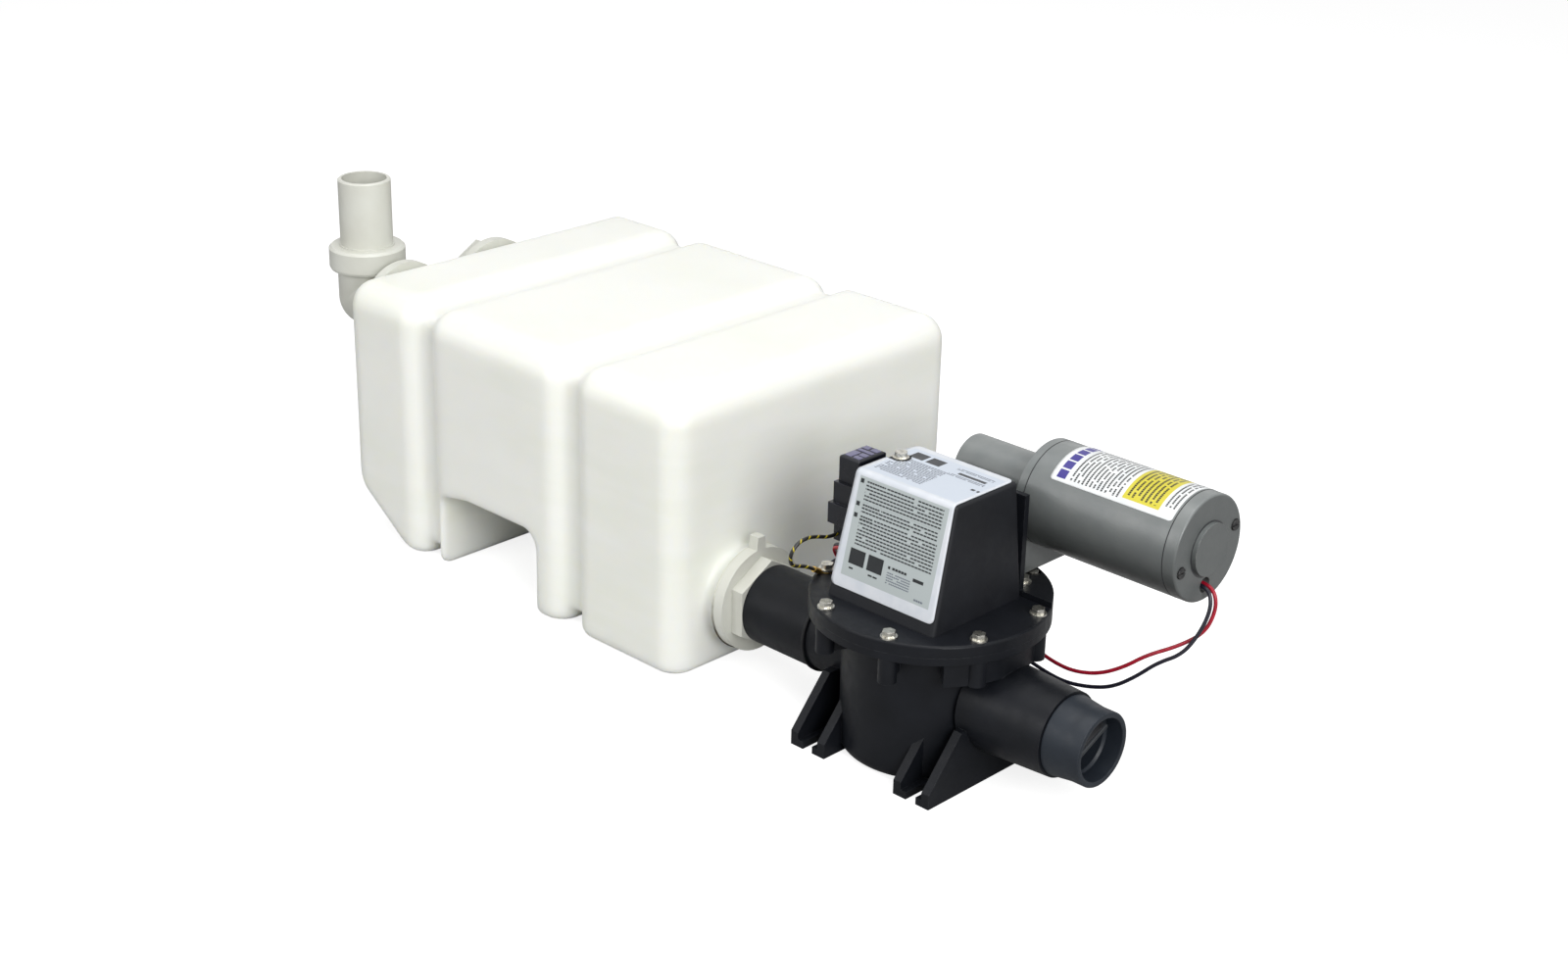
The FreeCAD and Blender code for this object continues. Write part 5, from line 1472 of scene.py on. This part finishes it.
@dataclass
class MotorLabel:
    """The white label wrapped over the motor can, with rules that run round it."""

    axis_y: float = 0.075
    axis_z: float = 0.165
    radius: float = 0.0345
    lift: float = 0.00025
    start: float = 0.0500
    end: float = 0.1415
    lower: float = 50.0
    upper: float = -62.0
    corner: float = 0.002
    rows: int = 90
    columns: int = 60
    finish: Print = Print("motor label", paint(232, 234, 234), paint(222, 225, 226), (
        *[Block(2.5 + 7.4 * k, 54.0, 8.6 + 7.4 * k, 60.6, PURPLE) for k in range(6)],
        Rules(3.0, 64.0, 58.0, 101.0, INK, 2.9, 0.46, 1.4, 0.12),
        Block(4.0, 103.0, 50.0, 130.0, YELLOW),
        Rules(6.0, 105.5, 48.0, 128.5, INK, 3.3, 0.46, 1.5, 0.12),
        Rules(8.0, 132.5, 46.0, 139.5, INK, 2.8, 0.46, 1.4, 0.12),
    ))

    def build(self) -> None:
        """Lay the label on the can: a point's place along the axis and its angle round it, with
        its corners rounded by drawing in the ends of its outer rows."""
        angle = np.radians(np.linspace(self.lower, self.upper, self.rows))
        arc = (angle[0] - angle) * self.radius
        near = np.minimum(arc, arc[-1] - arc)
        short = np.clip(self.corner - near, 0, self.corner)
        inset = self.corner - np.sqrt(self.corner ** 2 - short ** 2)
        share = np.linspace(0, 1, self.columns)
        low, high = self.start + inset, self.end - inset
        x = low[:, None] + (high - low)[:, None] * share
        out = self.radius + self.lift
        y, z = self.axis_y - out * np.sin(angle), self.axis_z + out * np.cos(angle)
        arc, y, z = (np.broadcast_to(part[:, None], x.shape) for part in (arc, y, z))
        faces = grid_faces(*x.shape, False, False)
        piece = film("motor_label", np.stack([x, y, z], -1), faces, np.stack([arc, x], -1), self.lift)
        dress(piece, self.finish.material())
        LOG.info("motor label")


@dataclass
class RelayMarks:
    """The raised plain blocks on the relay's top."""

    top: float = 0.188
    high: float = 0.0004
    sink: float = 0.0002
    corner: float = 0.0008
    rim: float = 0.00015
    blocks: tuple = (
        (-61.2, -17.6, -55.6, -8.0), (-54.2, -17.6, -48.4, -13.6), (-54.2, -12.4, -48.4, -8.0),
        (-61.2, -6.2, -48.4, -3.2), (-61.2, -1.4, -56.0, 3.2), (-54.4, -1.4, -48.4, 3.2),
    )
    finish: Moulding = Moulding(
        "relay marks", paint(112, 110, 138), paint(98, 96, 124), 0.4, wear_share=0.1)

    def build(self) -> None:
        """Build each block as a thin pad and join them."""
        low, high = self.top - self.sink, self.top + self.high
        pads = [
            pillow("pad", (a * MM, b * MM, low), (c * MM, d * MM, high), self.corner, self.rim)
            for a, b, c, d in self.blocks
        ]
        dress(join("relay_marks", pads), self.finish.material())
        LOG.info("relay marks, %d blocks", len(self.blocks))


# Finishes of the nodes that stay as they are


class Slots:
    """Which finish each of the record's material slots takes."""

    finishes: dict[str, Moulding | Milk | Metal | Enamel | Insulation] = {
        "rubber": Moulding("rubber", paint(36, 37, 40), paint(30, 31, 34), 0.62, grain_deep=0.00001),
        "fitting_white": Moulding(
            "white fitting", paint(214, 215, 207), paint(206, 206, 196), 0.36,
            wave_deep=0.0001, wear=paint(250, 250, 246), wear_share=0.3, grain_deep=0.00001),
        "pump_black": Moulding(
            "black pump plastic", paint(22, 24, 29), paint(15, 17, 21), 0.42,
            wear=paint(82, 86, 90), wear_share=0.35, shine=0.18),
        "nozzle_grey": Moulding(
            "grey nozzle plastic", paint(34, 40, 48), paint(28, 33, 40), 0.46,
            wear=paint(88, 92, 98), wear_share=0.6, shine=0.25),
        "cover_black": Moulding(
            "black cover plastic", paint(23, 25, 30), paint(17, 18, 22), 0.52,
            grain=0.0006, grain_deep=0.00005, wear=paint(70, 72, 76), shine=0.3),
        "relay_black": Moulding(
            "relay plastic", paint(19, 21, 30), paint(14, 16, 23), 0.3,
            wear=paint(104, 106, 122), wear_share=0.5, shine=0.4),
        "motor_grey": Enamel("grey enamel", paint(120, 124, 123), paint(110, 115, 115), paint(160, 160, 156)),
        "bright_steel": Metal("plated steel", paint(206, 204, 196), paint(158, 156, 148), 0.3),
        "steel": Metal("steel", paint(176, 176, 174), paint(130, 130, 128), 0.38),
        "dark_steel": Metal("dark steel", paint(92, 92, 92), paint(62, 62, 64), 0.46),
        "brass": Metal("brass", paint(206, 172, 96), paint(158, 124, 62), 0.32),
        "wire_red": Insulation("red insulation", paint(178, 22, 48)),
        "wire_black": Insulation("black insulation", paint(26, 26, 30)),
        "tank_white": Milk("tank inside", paint(236, 236, 226), paint(228, 230, 218)),
    }

    def __init__(self) -> None:
        """Build every finish once."""
        self.materials = {name: finish.material() for name, finish in self.finishes.items()}

    def dress_nodes(self, nodes: dict, places: dict) -> None:
        """Give every node the finish of its slot.

        Args:
            nodes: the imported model's objects by name.
            places: the slot of each node.
        """
        for name, item in nodes.items():
            item.data.materials.clear()
            item.data.materials.append(self.materials[places[name]])


def main() -> None:
    """Build the scene in order: camera, leads, studio, the nodes' finishes, then each piece."""
    logging.basicConfig(level=logging.INFO, format="%(name)s: %(message)s")
    Camera().build()
    Wiring().build()
    Studio().build()
    places = {entry["node"]: entry["material_slot"] for entry in frame["record"]["subparts"]}
    Slots().dress_nodes(frame["nodes"], places)
    Tank().build()
    Rings().build()
    Outlet().build()
    Bellows().build()
    CoverLabel().build()
    MotorLabel().build()
    RelayMarks().build()


if __name__ == "__main__":
    main()
